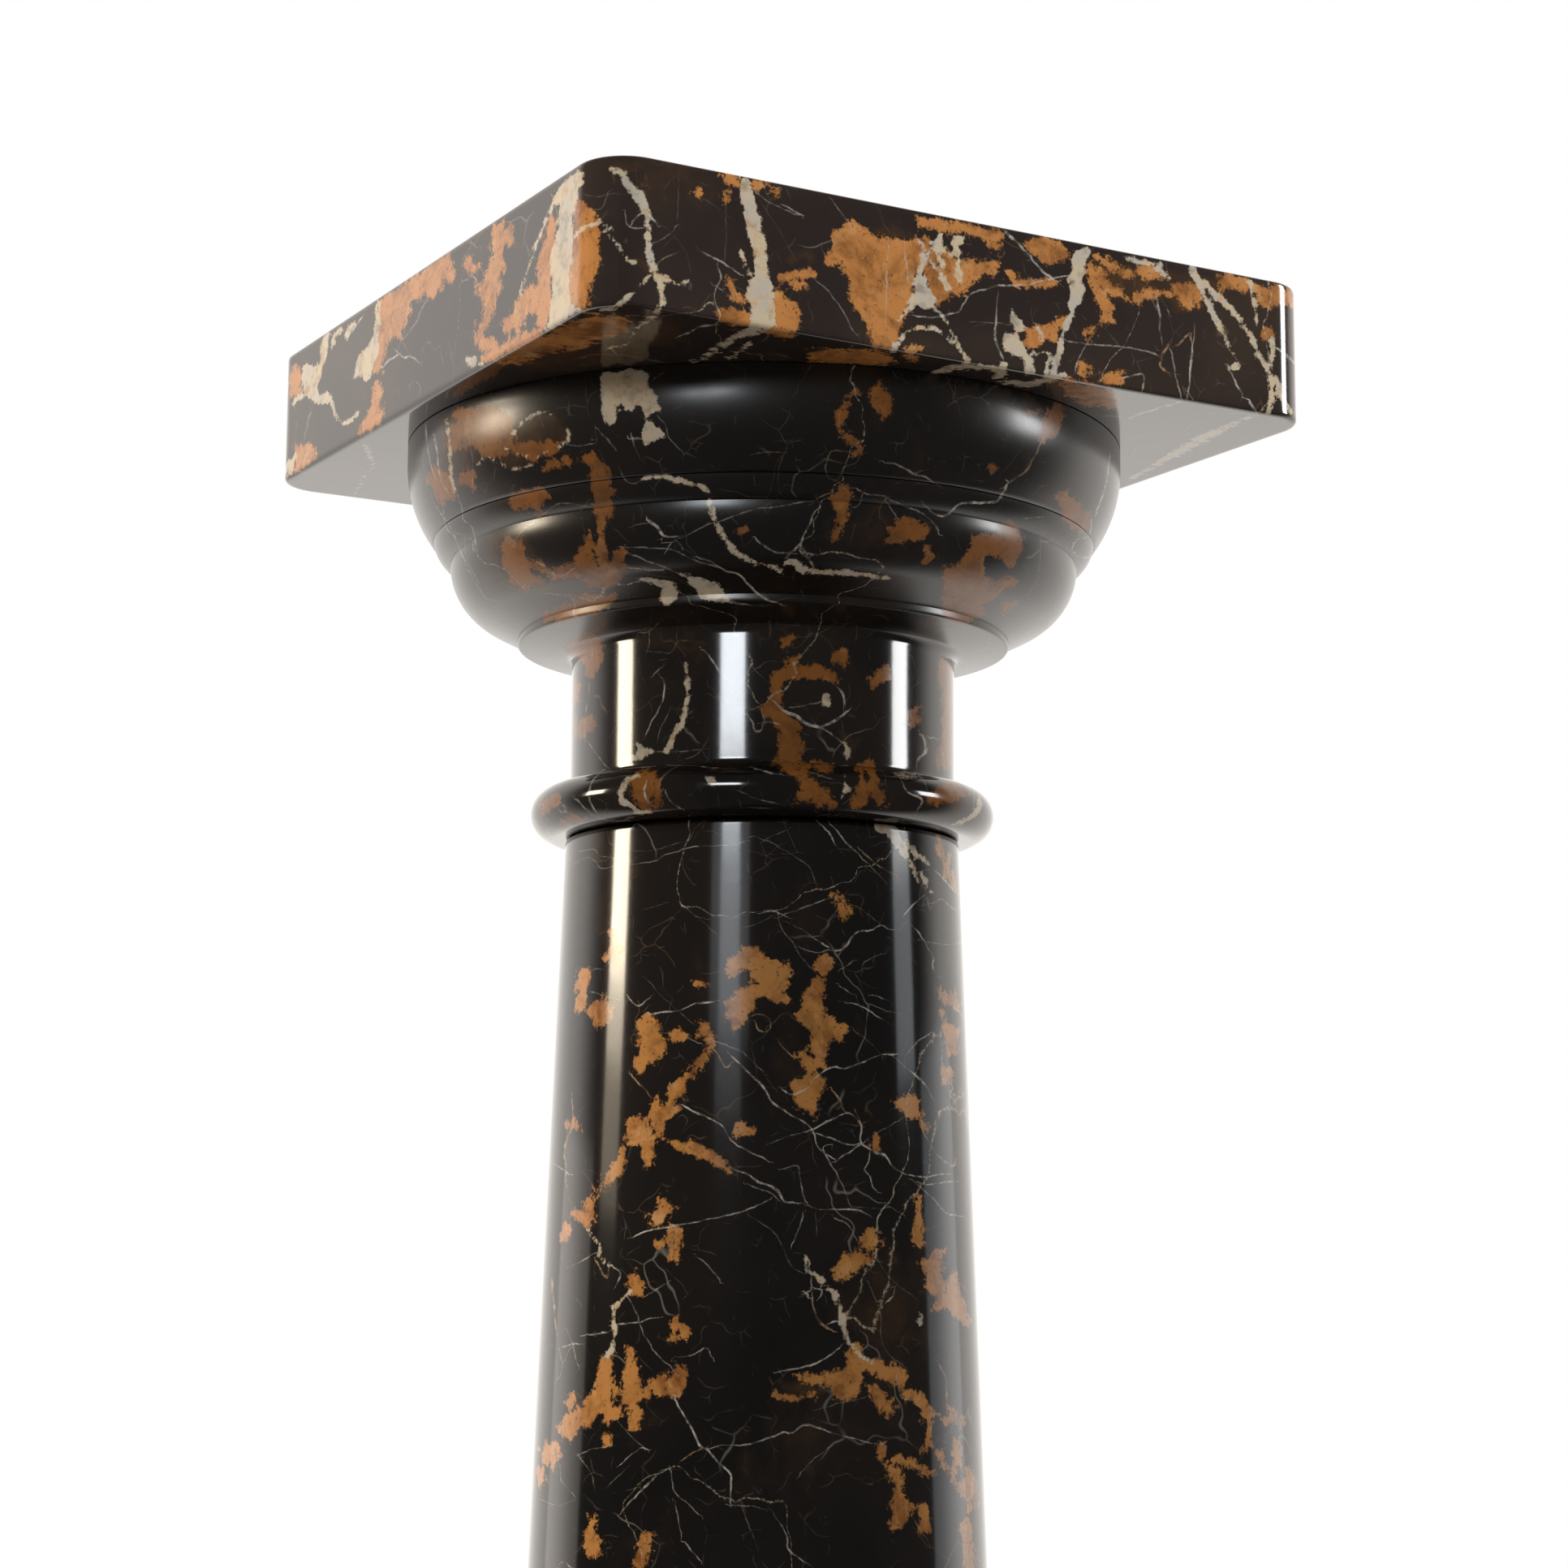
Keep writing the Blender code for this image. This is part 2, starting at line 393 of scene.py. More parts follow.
    def _vein_field(self, pixels: np.ndarray, scale: np.ndarray, shown: np.ndarray, veins: list) -> np.ndarray:
        """Works out one vein field.

        Args:
            pixels: the stone's points in the photograph.
            scale: millimetres to a pixel at each.
            shown: how far each point is in the photograph's view, from 0 to 1.
            veins: the field's veins with their drawn paths.

        Returns:
            Three numbers a point: signed distance, depth in the reach, and half the width.
        """
        across = np.full(len(pixels), self.reach)
        half = np.zeros(len(pixels))
        for vein, path in veins:
            near = self._near(pixels, path, self.reach)
            if len(near) == 0:
                continue
            distance, along = self._nearest(pixels[near], path)
            nearer = np.abs(distance) < np.abs(across[near])
            width = np.interp(along, np.linspace(0, 1, len(vein.widths)), vein.widths) / 2
            width *= -1.0 if vein.tone is Tone.TAN else 1.0
            across[near] = np.where(nearer, distance, across[near])
            half[near] = np.where(nearer, width, half[near])
        depth = self.reach - np.abs(across)
        return np.stack([across * scale, depth * scale, half * scale * shown], 1)


class Recipe:
    """Lays out a material's nodes, so that the marble reads as sums and mixes."""

    def __init__(self, name: str) -> None:
        """Starts a material.

        Args:
            name: the material's name.
        """
        self.material = bpy.data.materials.new(name)
        self.material.use_nodes = True
        self.tree = self.material.node_tree
        self.shader = self.tree.nodes["Principled BSDF"]
        self.place = self.tree.nodes.new("ShaderNodeTexCoord").outputs["Object"]

    def _plug(self, node: bpy.types.Node, values: dict) -> None:
        """Sets or links a node's sockets.

        Args:
            node: the node.
            values: sockets or plain values by socket name or number.
        """
        for key, value in values.items():
            if isinstance(value, Socket):
                self.tree.links.new(value, node.inputs[key])
            else:
                node.inputs[key].default_value = value

    def math(self, operation: str, *values: Socket | float) -> Socket:
        """Does a sum on numbers.

        Args:
            operation: Blender's name for the sum.
            values: sockets or plain numbers.

        Returns:
            The result's socket.
        """
        node = self.tree.nodes.new("ShaderNodeMath")
        node.operation = operation
        self._plug(node, dict(enumerate(values)))
        return node.outputs[0]

    def vector(self, operation: str, *values: Socket | Colour | float) -> Socket:
        """Does a sum on vectors.

        Args:
            operation: Blender's name for the sum.
            values: sockets, vectors or a scale.

        Returns:
            The result's socket.
        """
        node = self.tree.nodes.new("ShaderNodeVectorMath")
        node.operation = operation
        for number, value in enumerate(values):
            key = "Scale" if operation == "SCALE" and number == 1 else number
            self._plug(node, {key: value})
        return node.outputs[0]

    def ramp(self, value: Socket, low: float, high: float, to_low: float = 0.0, to_high: float = 1.0) -> Socket:
        """Eases a number from one level to another.

        Args:
            value: the number's socket.
            low: where the result starts to change.
            high: where it has changed.
            to_low: the result at low.
            to_high: the result at high.

        Returns:
            The result's socket.
        """
        node = self.tree.nodes.new("ShaderNodeMapRange")
        node.interpolation_type = "SMOOTHSTEP"
        self._plug(node, {"Value": value, "From Min": low, "From Max": high, "To Min": to_low, "To Max": to_high})
        return node.outputs["Result"]

    def mix(self, share: Socket, first: Socket | Colour, second: Socket | Colour) -> Socket:
        """Mixes two colours.

        Args:
            share: 0 for the first and 1 for the second.
            first: a colour or its socket.
            second: a colour or its socket.

        Returns:
            The result's socket.
        """
        node = self.tree.nodes.new("ShaderNodeMix")
        node.data_type = "RGBA"
        colours = [c if isinstance(c, Socket) else (*c, 1.0) for c in (first, second)]
        self._plug(node, {MIX_SHARE: share, MIX_FIRST: colours[0], MIX_SECOND: colours[1]})
        return node.outputs[MIXED_COLOUR]

    def noise(self, at: Socket, scale: float, detail: float = 3.0, roughness: float = 0.55, bend: float = 0.0,
              colour: bool = False) -> Socket:
        """Adds fractal noise.

        Args:
            at: the place to read it, in metres.
            scale: how many lumps there are to a metre.
            detail: how many finer layers it has.
            roughness: how strong the finer layers are.
            bend: how far it is twisted.
            colour: True for three numbers, False for one.

        Returns:
            The noise's socket.
        """
        node = self.tree.nodes.new("ShaderNodeTexNoise")
        values = {"Vector": at, "Scale": scale, "Detail": detail, "Roughness": roughness, "Distortion": bend}
        self._plug(node, values)
        return node.outputs["Color" if colour else "Fac"]

    def cells(self, at: Socket, scale: float) -> Socket:
        """Adds a net of cells and measures the distance to its lines.

        Args:
            at: the place to read it, in metres.
            scale: how many cells there are to a metre.

        Returns:
            The result's socket.
        """
        node = self.tree.nodes.new("ShaderNodeTexVoronoi")
        node.feature = "DISTANCE_TO_EDGE"
        self._plug(node, {"Vector": at, "Scale": scale})
        return node.outputs["Distance"]

    def field(self, name: str) -> bpy.types.Node:
        """Reads one of the stone's traced fields.

        Args:
            name: the field's name on the mesh.

        Returns:
            The node, whose outputs hold the field.
        """
        node = self.tree.nodes.new("ShaderNodeAttribute")
        node.attribute_name = name
        return node

    def parts(self, value: Socket) -> list[Socket]:
        """Splits a vector into its three numbers.

        Args:
            value: the vector's socket.

        Returns:
            The sockets of x, y and z.
        """
        node = self.tree.nodes.new("ShaderNodeSeparateXYZ")
        self._plug(node, {0: value})
        return list(node.outputs)


@dataclass(frozen=True)
class Grain:
    """The places and noises that the marble's layers share.

    Args:
        block: the place in the block of marble.
        shaken: the same place, bent.
        ragged: noise for ragged edges, around 0.
        fine: finer noise, around 0.
        shown: how far the photograph shows the place, from 0 to 1.
    """

    block: Socket
    shaken: Socket
    ragged: Socket
    fine: Socket
    shown: Socket


@dataclass(frozen=True)
class PolishedMarble:
    """Black and gold breccia marble, sawn from one block and polished.

    Args:
        name: the material's name.
        offset: where in the block the stone was cut, in metres, so that no two stones repeat.
        ground: the near-black ground.
        ground_light: the ground where it is browner.
        brown: the glassy brown of the clouds.
        gold: the ochre of the patches.
        gold_deep: the darker ochre within them.
        gold_pale: the paler ochre within them.
        cream: the cream of wide veins.
        white: the white of thin veins.
        tan: the tan of stained cracks.
        patchiness: how much of an untraced side is gold, as a noise level; less gives more.
        torn: how far the gold's edge wanders, in millimetres.
        vein_width: the share of a traced vein's width that is painted.
        vein_fields: how many vein fields the stone has.
        roughness: the polish.
        softer_above: the height in metres above which the polish is softer.
        softer_run: the height over which it gets softer.
        softer_by: how much rougher it is there.
        refraction: the polish's index of refraction.
        ripple: the strength of the polish's ripples.
        ripple_depth: their depth, in metres.
    """

    name: str
    offset: tuple[float, float, float]
    ground: Colour = (0.0066, 0.0053, 0.0050)
    ground_light: Colour = (0.0170, 0.0120, 0.0092)
    brown: Colour = (0.080, 0.038, 0.015)
    gold: Colour = (0.520, 0.215, 0.060)
    gold_deep: Colour = (0.225, 0.082, 0.020)
    gold_pale: Colour = (0.600, 0.330, 0.140)
    cream: Colour = (0.610, 0.490, 0.325)
    white: Colour = (0.500, 0.455, 0.395)
    tan: Colour = (0.380, 0.240, 0.130)
    patchiness: float = 0.62
    torn: float = 6.0
    vein_width: float = 0.70
    vein_fields: int = 4
    roughness: float = 0.10
    softer_above: float = 9.0
    softer_run: float = 0.004
    softer_by: float = 0.16
    refraction: float = 1.52
    ripple: float = 0.05
    ripple_depth: float = 0.0004

    def make(self) -> bpy.types.Material:
        """Builds the material.

        Returns:
            The finished material.
        """
        mix = Recipe(self.name)
        block = mix.vector("ADD", mix.place, self.offset)
        sway = mix.vector("SUBTRACT", mix.noise(block, 26.0, 3.0, colour=True), (0.5, 0.5, 0.5))
        shaken = mix.vector("ADD", block, mix.vector("SCALE", sway, 0.030))
        ragged = mix.math("SUBTRACT", mix.noise(block, 260.0, 5.0, 0.62), 0.5)
        fine = mix.math("SUBTRACT", mix.noise(block, 900.0, 3.0, 0.6), 0.5)
        grain = Grain(block, shaken, ragged, fine, mix.field("shown").outputs["Fac"])

        colour = self._ground(mix, grain)
        colour = self._clouds(mix, grain, colour)
        colour = self._hairlines(mix, grain, colour)
        colour, gold_share = self._gold(mix, grain, colour)
        colour, cream_share = self._cream(mix, grain, colour)
        colour = self._traced_veins(mix, grain, colour)
        mix.tree.links.new(colour, mix.shader.inputs["Base Color"])
        mix.tree.links.new(self._polish(mix, grain, gold_share, cream_share), mix.shader.inputs["Roughness"])
        mix.shader.inputs["IOR"].default_value = self.refraction
        self._surface(mix, grain, gold_share)
        return mix.material

    def _ground(self, mix: Recipe, grain: Grain) -> Socket:
        """Mottles the dark ground and gives its colour."""
        mottle = mix.ramp(mix.noise(grain.shaken, 9.0, 4.0, 0.55), 0.38, 0.68)
        return mix.mix(mottle, self.ground, self.ground_light)

    def _clouds(self, mix: Recipe, grain: Grain, colour: Socket) -> Socket:
        """Adds the glassy brown clouds, both the traced ones and the rest.

        Args:
            mix: the material's nodes.
            grain: the shared noises.
            colour: the colour so far.

        Returns:
            The new colour.
        """
        drift = mix.noise(grain.shaken, 17.0, 5.0, 0.62, 0.4)
        generic = mix.ramp(drift, 0.56, 0.74)
        traced = mix.math("MULTIPLY_ADD", grain.ragged, 5.0, mix.field(Tone.BROWN.value).outputs["Fac"])
        share = mix.math("MAXIMUM", mix.math("MULTIPLY", generic, 0.5), mix.ramp(traced, -2.0, 2.0, 0.0, 0.85))
        depth = mix.ramp(mix.noise(grain.block, 120.0, 4.0, 0.65), 0.3, 0.75, 0.35, 1.0)
        return mix.mix(mix.math("MULTIPLY", share, depth), colour, self.brown)

    def _hairlines(self, mix: Recipe, grain: Grain, colour: Socket) -> Socket:
        """Adds the net of fine cracks, fainter where the photograph's own are traced.

        Args:
            mix: the material's nodes.
            grain: the shared noises.
            colour: the colour so far.

        Returns:
            The new colour.
        """
        fainter = mix.math("MULTIPLY_ADD", grain.shown, -0.70, 1.0)
        for scale, width, strength, tone, low in ((17.0, 0.0085, 0.85, self.white, 0.52),
                                                  (38.0, 0.0110, 0.50, self.tan, 0.50),
                                                  (71.0, 0.0150, 0.30, self.white, 0.53)):
            edge = mix.cells(mix.vector("ADD", grain.shaken, (scale, 0.0, 0.0)), scale)
            line = mix.ramp(edge, 0.0, width, 1.0, 0.0)
            kept = mix.ramp(mix.noise(grain.block, scale * 1.7, 3.0), low, low + 0.12, 0.0, strength)
            share = mix.math("MULTIPLY", mix.math("MULTIPLY", line, kept), fainter)
            colour = mix.mix(share, colour, tone)
        return colour

    def _gold(self, mix: Recipe, grain: Grain, colour: Socket) -> tuple[Socket, Socket]:
        """Adds the gold patches, both the traced ones and the rest.

        Args:
            mix: the material's nodes.
            grain: the shared noises.
            colour: the colour so far.

        Returns:
            The new colour and the share of gold.
        """
        block = grain.block
        drift = mix.noise(grain.shaken, 13.0, 5.0, 0.60, 0.8)
        level = mix.math("MULTIPLY_ADD", grain.shown, 0.14, self.patchiness)
        generic = mix.math("MULTIPLY", mix.math("SUBTRACT", drift, level), 60.0)
        torn = mix.math("MULTIPLY", mix.math("SUBTRACT", mix.noise(block, 120.0, 4.0, 0.6), 0.5), self.torn)
        traced = mix.math("MULTIPLY_ADD", grain.ragged, 6.5, mix.field(Tone.GOLD.value).outputs["Fac"])
        traced = mix.math("ADD", mix.math("ADD", traced, torn), 0.9)
        edge = mix.math("MULTIPLY_ADD", grain.fine, 4.0, mix.math("MAXIMUM", generic, traced))
        share = mix.ramp(edge, -0.50, 0.90)
        share = mix.math("MULTIPLY", share, mix.ramp(mix.noise(block, 95.0, 5.0, 0.68, 0.4), 0.30, 0.48, 0.70, 1.0))
        wash = mix.ramp(mix.noise(block, 55.0, 5.0, 0.68, 0.6), 0.30, 0.56)
        tone = mix.mix(wash, self.gold_deep, self.gold)
        tone = mix.mix(mix.ramp(mix.noise(block, 85.0, 4.0, 0.6), 0.55, 0.75, 0.0, 0.7), tone, self.gold_pale)
        speck = mix.ramp(mix.noise(block, 620.0, 3.0, 0.6), 0.58, 0.72, 0.0, 0.65)
        tone = mix.mix(speck, tone, self.ground_light)
        return mix.mix(share, colour, tone), share

    def _cream(self, mix: Recipe, grain: Grain, colour: Socket) -> tuple[Socket, Socket]:
        """Adds the cream patches and wide veins, both the traced ones and the rest.

        Args:
            mix: the material's nodes.
            grain: the shared noises.
            colour: the colour so far.

        Returns:
            The new colour and the share of cream.
        """
        block = grain.block
        run = mix.math("ABSOLUTE", mix.math("SUBTRACT", mix.noise(grain.shaken, 4.2, 2.0, 0.5, 0.6), 0.5))
        swell = mix.ramp(mix.noise(block, 9.0, 2.0), 0.50, 0.72, 0.0, 0.016)
        kept = mix.math("MULTIPLY", swell, mix.ramp(grain.shown, 0.0, 0.6, 1.0, 0.0))
        generic = mix.math("MULTIPLY", mix.math("SUBTRACT", kept, run), 400.0)
        traced = mix.math("MULTIPLY_ADD", grain.ragged, 4.5, mix.field(Tone.CREAM.value).outputs["Fac"])
        edge = mix.math("MULTIPLY_ADD", grain.fine, 1.5, mix.math("MAXIMUM", generic, traced))
        share = mix.ramp(edge, -0.35, 0.40, 0.0, 0.95)
        share = mix.math("MULTIPLY", share, mix.ramp(mix.noise(block, 170.0, 4.0, 0.65), 0.32, 0.52, 0.62, 1.0))
        stain = mix.ramp(mix.noise(block, 80.0, 4.0, 0.6), 0.40, 0.66, 0.0, 0.8)
        tone = mix.mix(stain, self.cream, self.white)
        tone = mix.mix(mix.ramp(mix.noise(block, 150.0, 4.0, 0.65), 0.54, 0.70, 0.0, 0.6), tone, self.gold_pale)
        return mix.mix(share, colour, tone), share

    def _traced_veins(self, mix: Recipe, grain: Grain, colour: Socket) -> Socket:
        """Adds the thin veins traced from the photograph.

        Args:
            mix: the material's nodes.
            grain: the shared noises.
            colour: the colour so far.

        Returns:
            The new colour.
        """
        waver = mix.math("MULTIPLY", mix.math("SUBTRACT", mix.noise(grain.block, 210.0, 3.0, 0.6), 0.5), 1.5)
        worn = mix.ramp(mix.noise(grain.block, 260.0, 4.0, 0.65), 0.38, 0.64, 0.12, 1.0)
        for number in range(self.vein_fields):
            across, depth, half = mix.parts(mix.field(f"veins_{number}").outputs["Vector"])
            distance = mix.math("ABSOLUTE", mix.math("ADD", across, waver))
            width = mix.math("ABSOLUTE", half)
            line = mix.ramp(mix.math("MULTIPLY_ADD", width, -self.vein_width, distance), -0.08, 0.20, 1.0, 0.0)
            line = mix.math("MULTIPLY", line, mix.ramp(depth, 1.6, 2.2))
            line = mix.math("MULTIPLY", line, mix.ramp(width, 0.02, 0.55, 0.0, 1.0))
            tone = mix.mix(mix.math("LESS_THAN", half, 0.0), self.white, self.tan)
            colour = mix.mix(mix.math("MULTIPLY", line, worn), colour, tone)
        return colour

    def _polish(self, mix: Recipe, grain: Grain, gold_share: Socket, cream_share: Socket) -> Socket:
        """Makes the polish a little softer on gold and cream, and above a height.

        Args:
            mix: the material's nodes.
            grain: the shared noises.
            gold_share: the share of gold.
            cream_share: the share of cream.

        Returns:
            The roughness.
        """
        polish = mix.math("MULTIPLY_ADD", gold_share, 0.05, self.roughness)
        polish = mix.math("MULTIPLY_ADD", grain.ragged, 0.04, polish)
        polish = mix.math("MULTIPLY_ADD", cream_share, 0.02, polish)
        height = mix.parts(mix.place)[2]
        softer = mix.ramp(height, self.softer_above, self.softer_above + self.softer_run, 0.0, self.softer_by)
        return mix.math("ADD", polish, softer)

    def _surface(self, mix: Recipe, grain: Grain, gold_share: Socket) -> None:
        """Gives the polish its faint pits and ripples.

        Args:
            mix: the material's nodes.
            grain: the shared noises.
            gold_share: the share of gold, where the pits are.
        """
        pits = mix.ramp(mix.noise(grain.block, 1500.0, 2.0), 0.66, 0.76)
        ripples = mix.noise(grain.block, 60.0, 2.0)
        height = mix.math("MULTIPLY_ADD", mix.math("MULTIPLY", pits, gold_share), -0.6, ripples)
        bump = mix.tree.nodes.new("ShaderNodeBump")
        bump.inputs["Strength"].default_value = self.ripple
        bump.inputs["Distance"].default_value = self.ripple_depth
        mix.tree.links.new(height, bump.inputs["Height"])
        mix.tree.links.new(bump.outputs["Normal"], mix.shader.inputs["Normal"])


NECK_TOP = 0.9284

PLINTH_MARBLE = PolishedMarble("plinth_marble", (3.1, 0.4, 2.2))
BASE_MARBLE = PolishedMarble("base_marble", (1.7, 2.3, 0.9))
SHAFT_MARBLE = PolishedMarble("shaft_marble", (0.3, 1.1, 5.2), ground=(0.0038, 0.0031, 0.0030),
                              ground_light=(0.0110, 0.0080, 0.0064), gold=(0.480, 0.210, 0.056), torn=9.0,
                              vein_width=0.42)
CAPITAL_MARBLE = PolishedMarble("capital_marble", (4.2, 3.3, 1.6), gold=(0.270, 0.098, 0.018),
                                gold_deep=(0.150, 0.055, 0.012), gold_pale=(0.400, 0.205, 0.085),
                                softer_above=NECK_TOP)
SLAB_MARBLE = PolishedMarble("top_slab_marble", (2.6, 5.1, 3.7), ground=(0.0240, 0.0165, 0.0142),
                             ground_light=(0.0440, 0.0285, 0.0205))


def arc(centre: Point, radii: Point, start: float, end: float, step: float) -> list[Point]:
    """Draws an elliptical arc in the (radius, height) plane.

    Args:
        centre: the arc's centre.
        radii: its radii along the two directions.
        start: the first angle in radians, 0 pointing away from the axis.
        end: the last angle.
        step: the rough spacing of the points.

    Returns:
        The arc's points.
    """
    count = max(3, round(abs(end - start) * max(radii) / step))
    angles = [start + (end - start) * number / count for number in range(count + 1)]
    return [(centre[0] + radii[0] * math.cos(a), centre[1] + radii[1] * math.sin(a)) for a in angles]


def spread(outline: list[Point], step: float) -> list[Point]:
    """Adds points to an outline's long runs.

    Args:
        outline: (radius, height) points.
        step: the longest run to leave.

    Returns:
        The outline with points no farther apart than the step.
    """
    finer = outline[:1]
    for start, end in zip(outline, outline[1:]):
        count = max(1, math.ceil(math.dist(start, end) / step - 1e-6))
        for number in range(1, count + 1):
            part = number / count
            finer.append((start[0] + (end[0] - start[0]) * part, start[1] + (end[1] - start[1]) * part))
    return finer


@dataclass
class Stone:
    """One stone of the pedestal, which stands for the CAD node of the same name.

    Args:
        node: the CAD node's name.
        finish: the marble it is dressed in.
        tracing: turns its traced features into fields.
        features: what the photograph shows on it.
    """

    node: str
    finish: PolishedMarble
    tracing: Tracing
    features: tuple = ()

    def surface(self) -> tuple[np.ndarray, list[tuple[int, ...]]]:
        """Gives the stone's points and faces."""
        raise NotImplementedError

    def make(self) -> bpy.types.Object:
        """Builds the stone, dresses it and puts it in the CAD node's place.

        Returns:
            The stone's object.
        """
        points, faces = self.surface()
        mesh = bpy.data.meshes.new(f"polished_{self.node}")
        mesh.from_pydata(points.tolist(), [], faces)
        mesh.update()
        mesh.shade_smooth()
        mesh.set_sharp_from_angle(angle=math.radians(SHARP_ANGLE))
        self._dress(mesh)
        stone = bpy.data.objects.new(f"polished_{self.node}", mesh)
        bpy.context.scene.collection.objects.link(stone)
        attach(stone, "root")
        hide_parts(self.node)
        log.info("%s: %d points, %d faces", stone.name, len(mesh.vertices), len(mesh.polygons))
        return stone

    def _dress(self, mesh: bpy.types.Mesh) -> None:
        """Gives the mesh its traced fields and its marble.

        Args:
            mesh: the stone's mesh.
        """
        count = len(mesh.vertices)
        points = np.zeros(count * 3)
        mesh.vertices.foreach_get("co", points)
        normals = np.zeros(count * 3)
        mesh.vertices.foreach_get("normal", normals)
        fields = self.tracing.fields(points.reshape(-1, 3), normals.reshape(-1, 3), self.features)
        for name, values in fields.items():
            vector = values.ndim == 2
            layer = mesh.attributes.new(name, "FLOAT_VECTOR" if vector else "FLOAT", "POINT")
            layer.data.foreach_set("vector" if vector else "value", values.astype(np.float32).ravel())
        mesh.materials.append(self.finish.make())


@dataclass
class TurnedStone(Stone):
    """A stone turned on the pedestal's axis.

    Args:
        sides: how many points go round it.
        step: the longest run along its outline, in metres.
    """

    sides: int = 504
    step: float = 0.0013

    def outline(self) -> list[Point]:
        """Gives the (radius, height) points of the side, from the foot up, with the height above the foot."""
        raise NotImplementedError

    def surface(self) -> tuple[np.ndarray, list[tuple[int, ...]]]:
        """Turns the outline.

        Returns:
            The points, and the faces as tuples of point numbers.
        """
        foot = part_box(self.node)[0].z
        rings = np.array(self.outline())
        turns = np.arange(self.sides) * math.tau / self.sides
        x = rings[:, 0, None] * np.cos(turns)
        y = rings[:, 0, None] * np.sin(turns)
        z = np.broadcast_to(rings[:, 1, None] + foot, x.shape)
        side_points = np.stack([x, y, z], 2).reshape(-1, 3)
        points = np.vstack([side_points, [(0, 0, foot + rings[0, 1]), (0, 0, foot + rings[-1, 1])]])
        faces = []
        after = [*range(1, self.sides), 0]
        for ring in range(len(rings) - 1):
            low, high = ring * self.sides, (ring + 1) * self.sides
            faces += [(low + a, low + b, high + b, high + a) for a, b in enumerate(after)]
        centre_low, centre_high = len(side_points), len(side_points) + 1
        top = (len(rings) - 1) * self.sides
        faces += [(centre_low, b, a) for a, b in enumerate(after)]
        faces += [(centre_high, top + a, top + b) for a, b in enumerate(after)]
        return points, faces


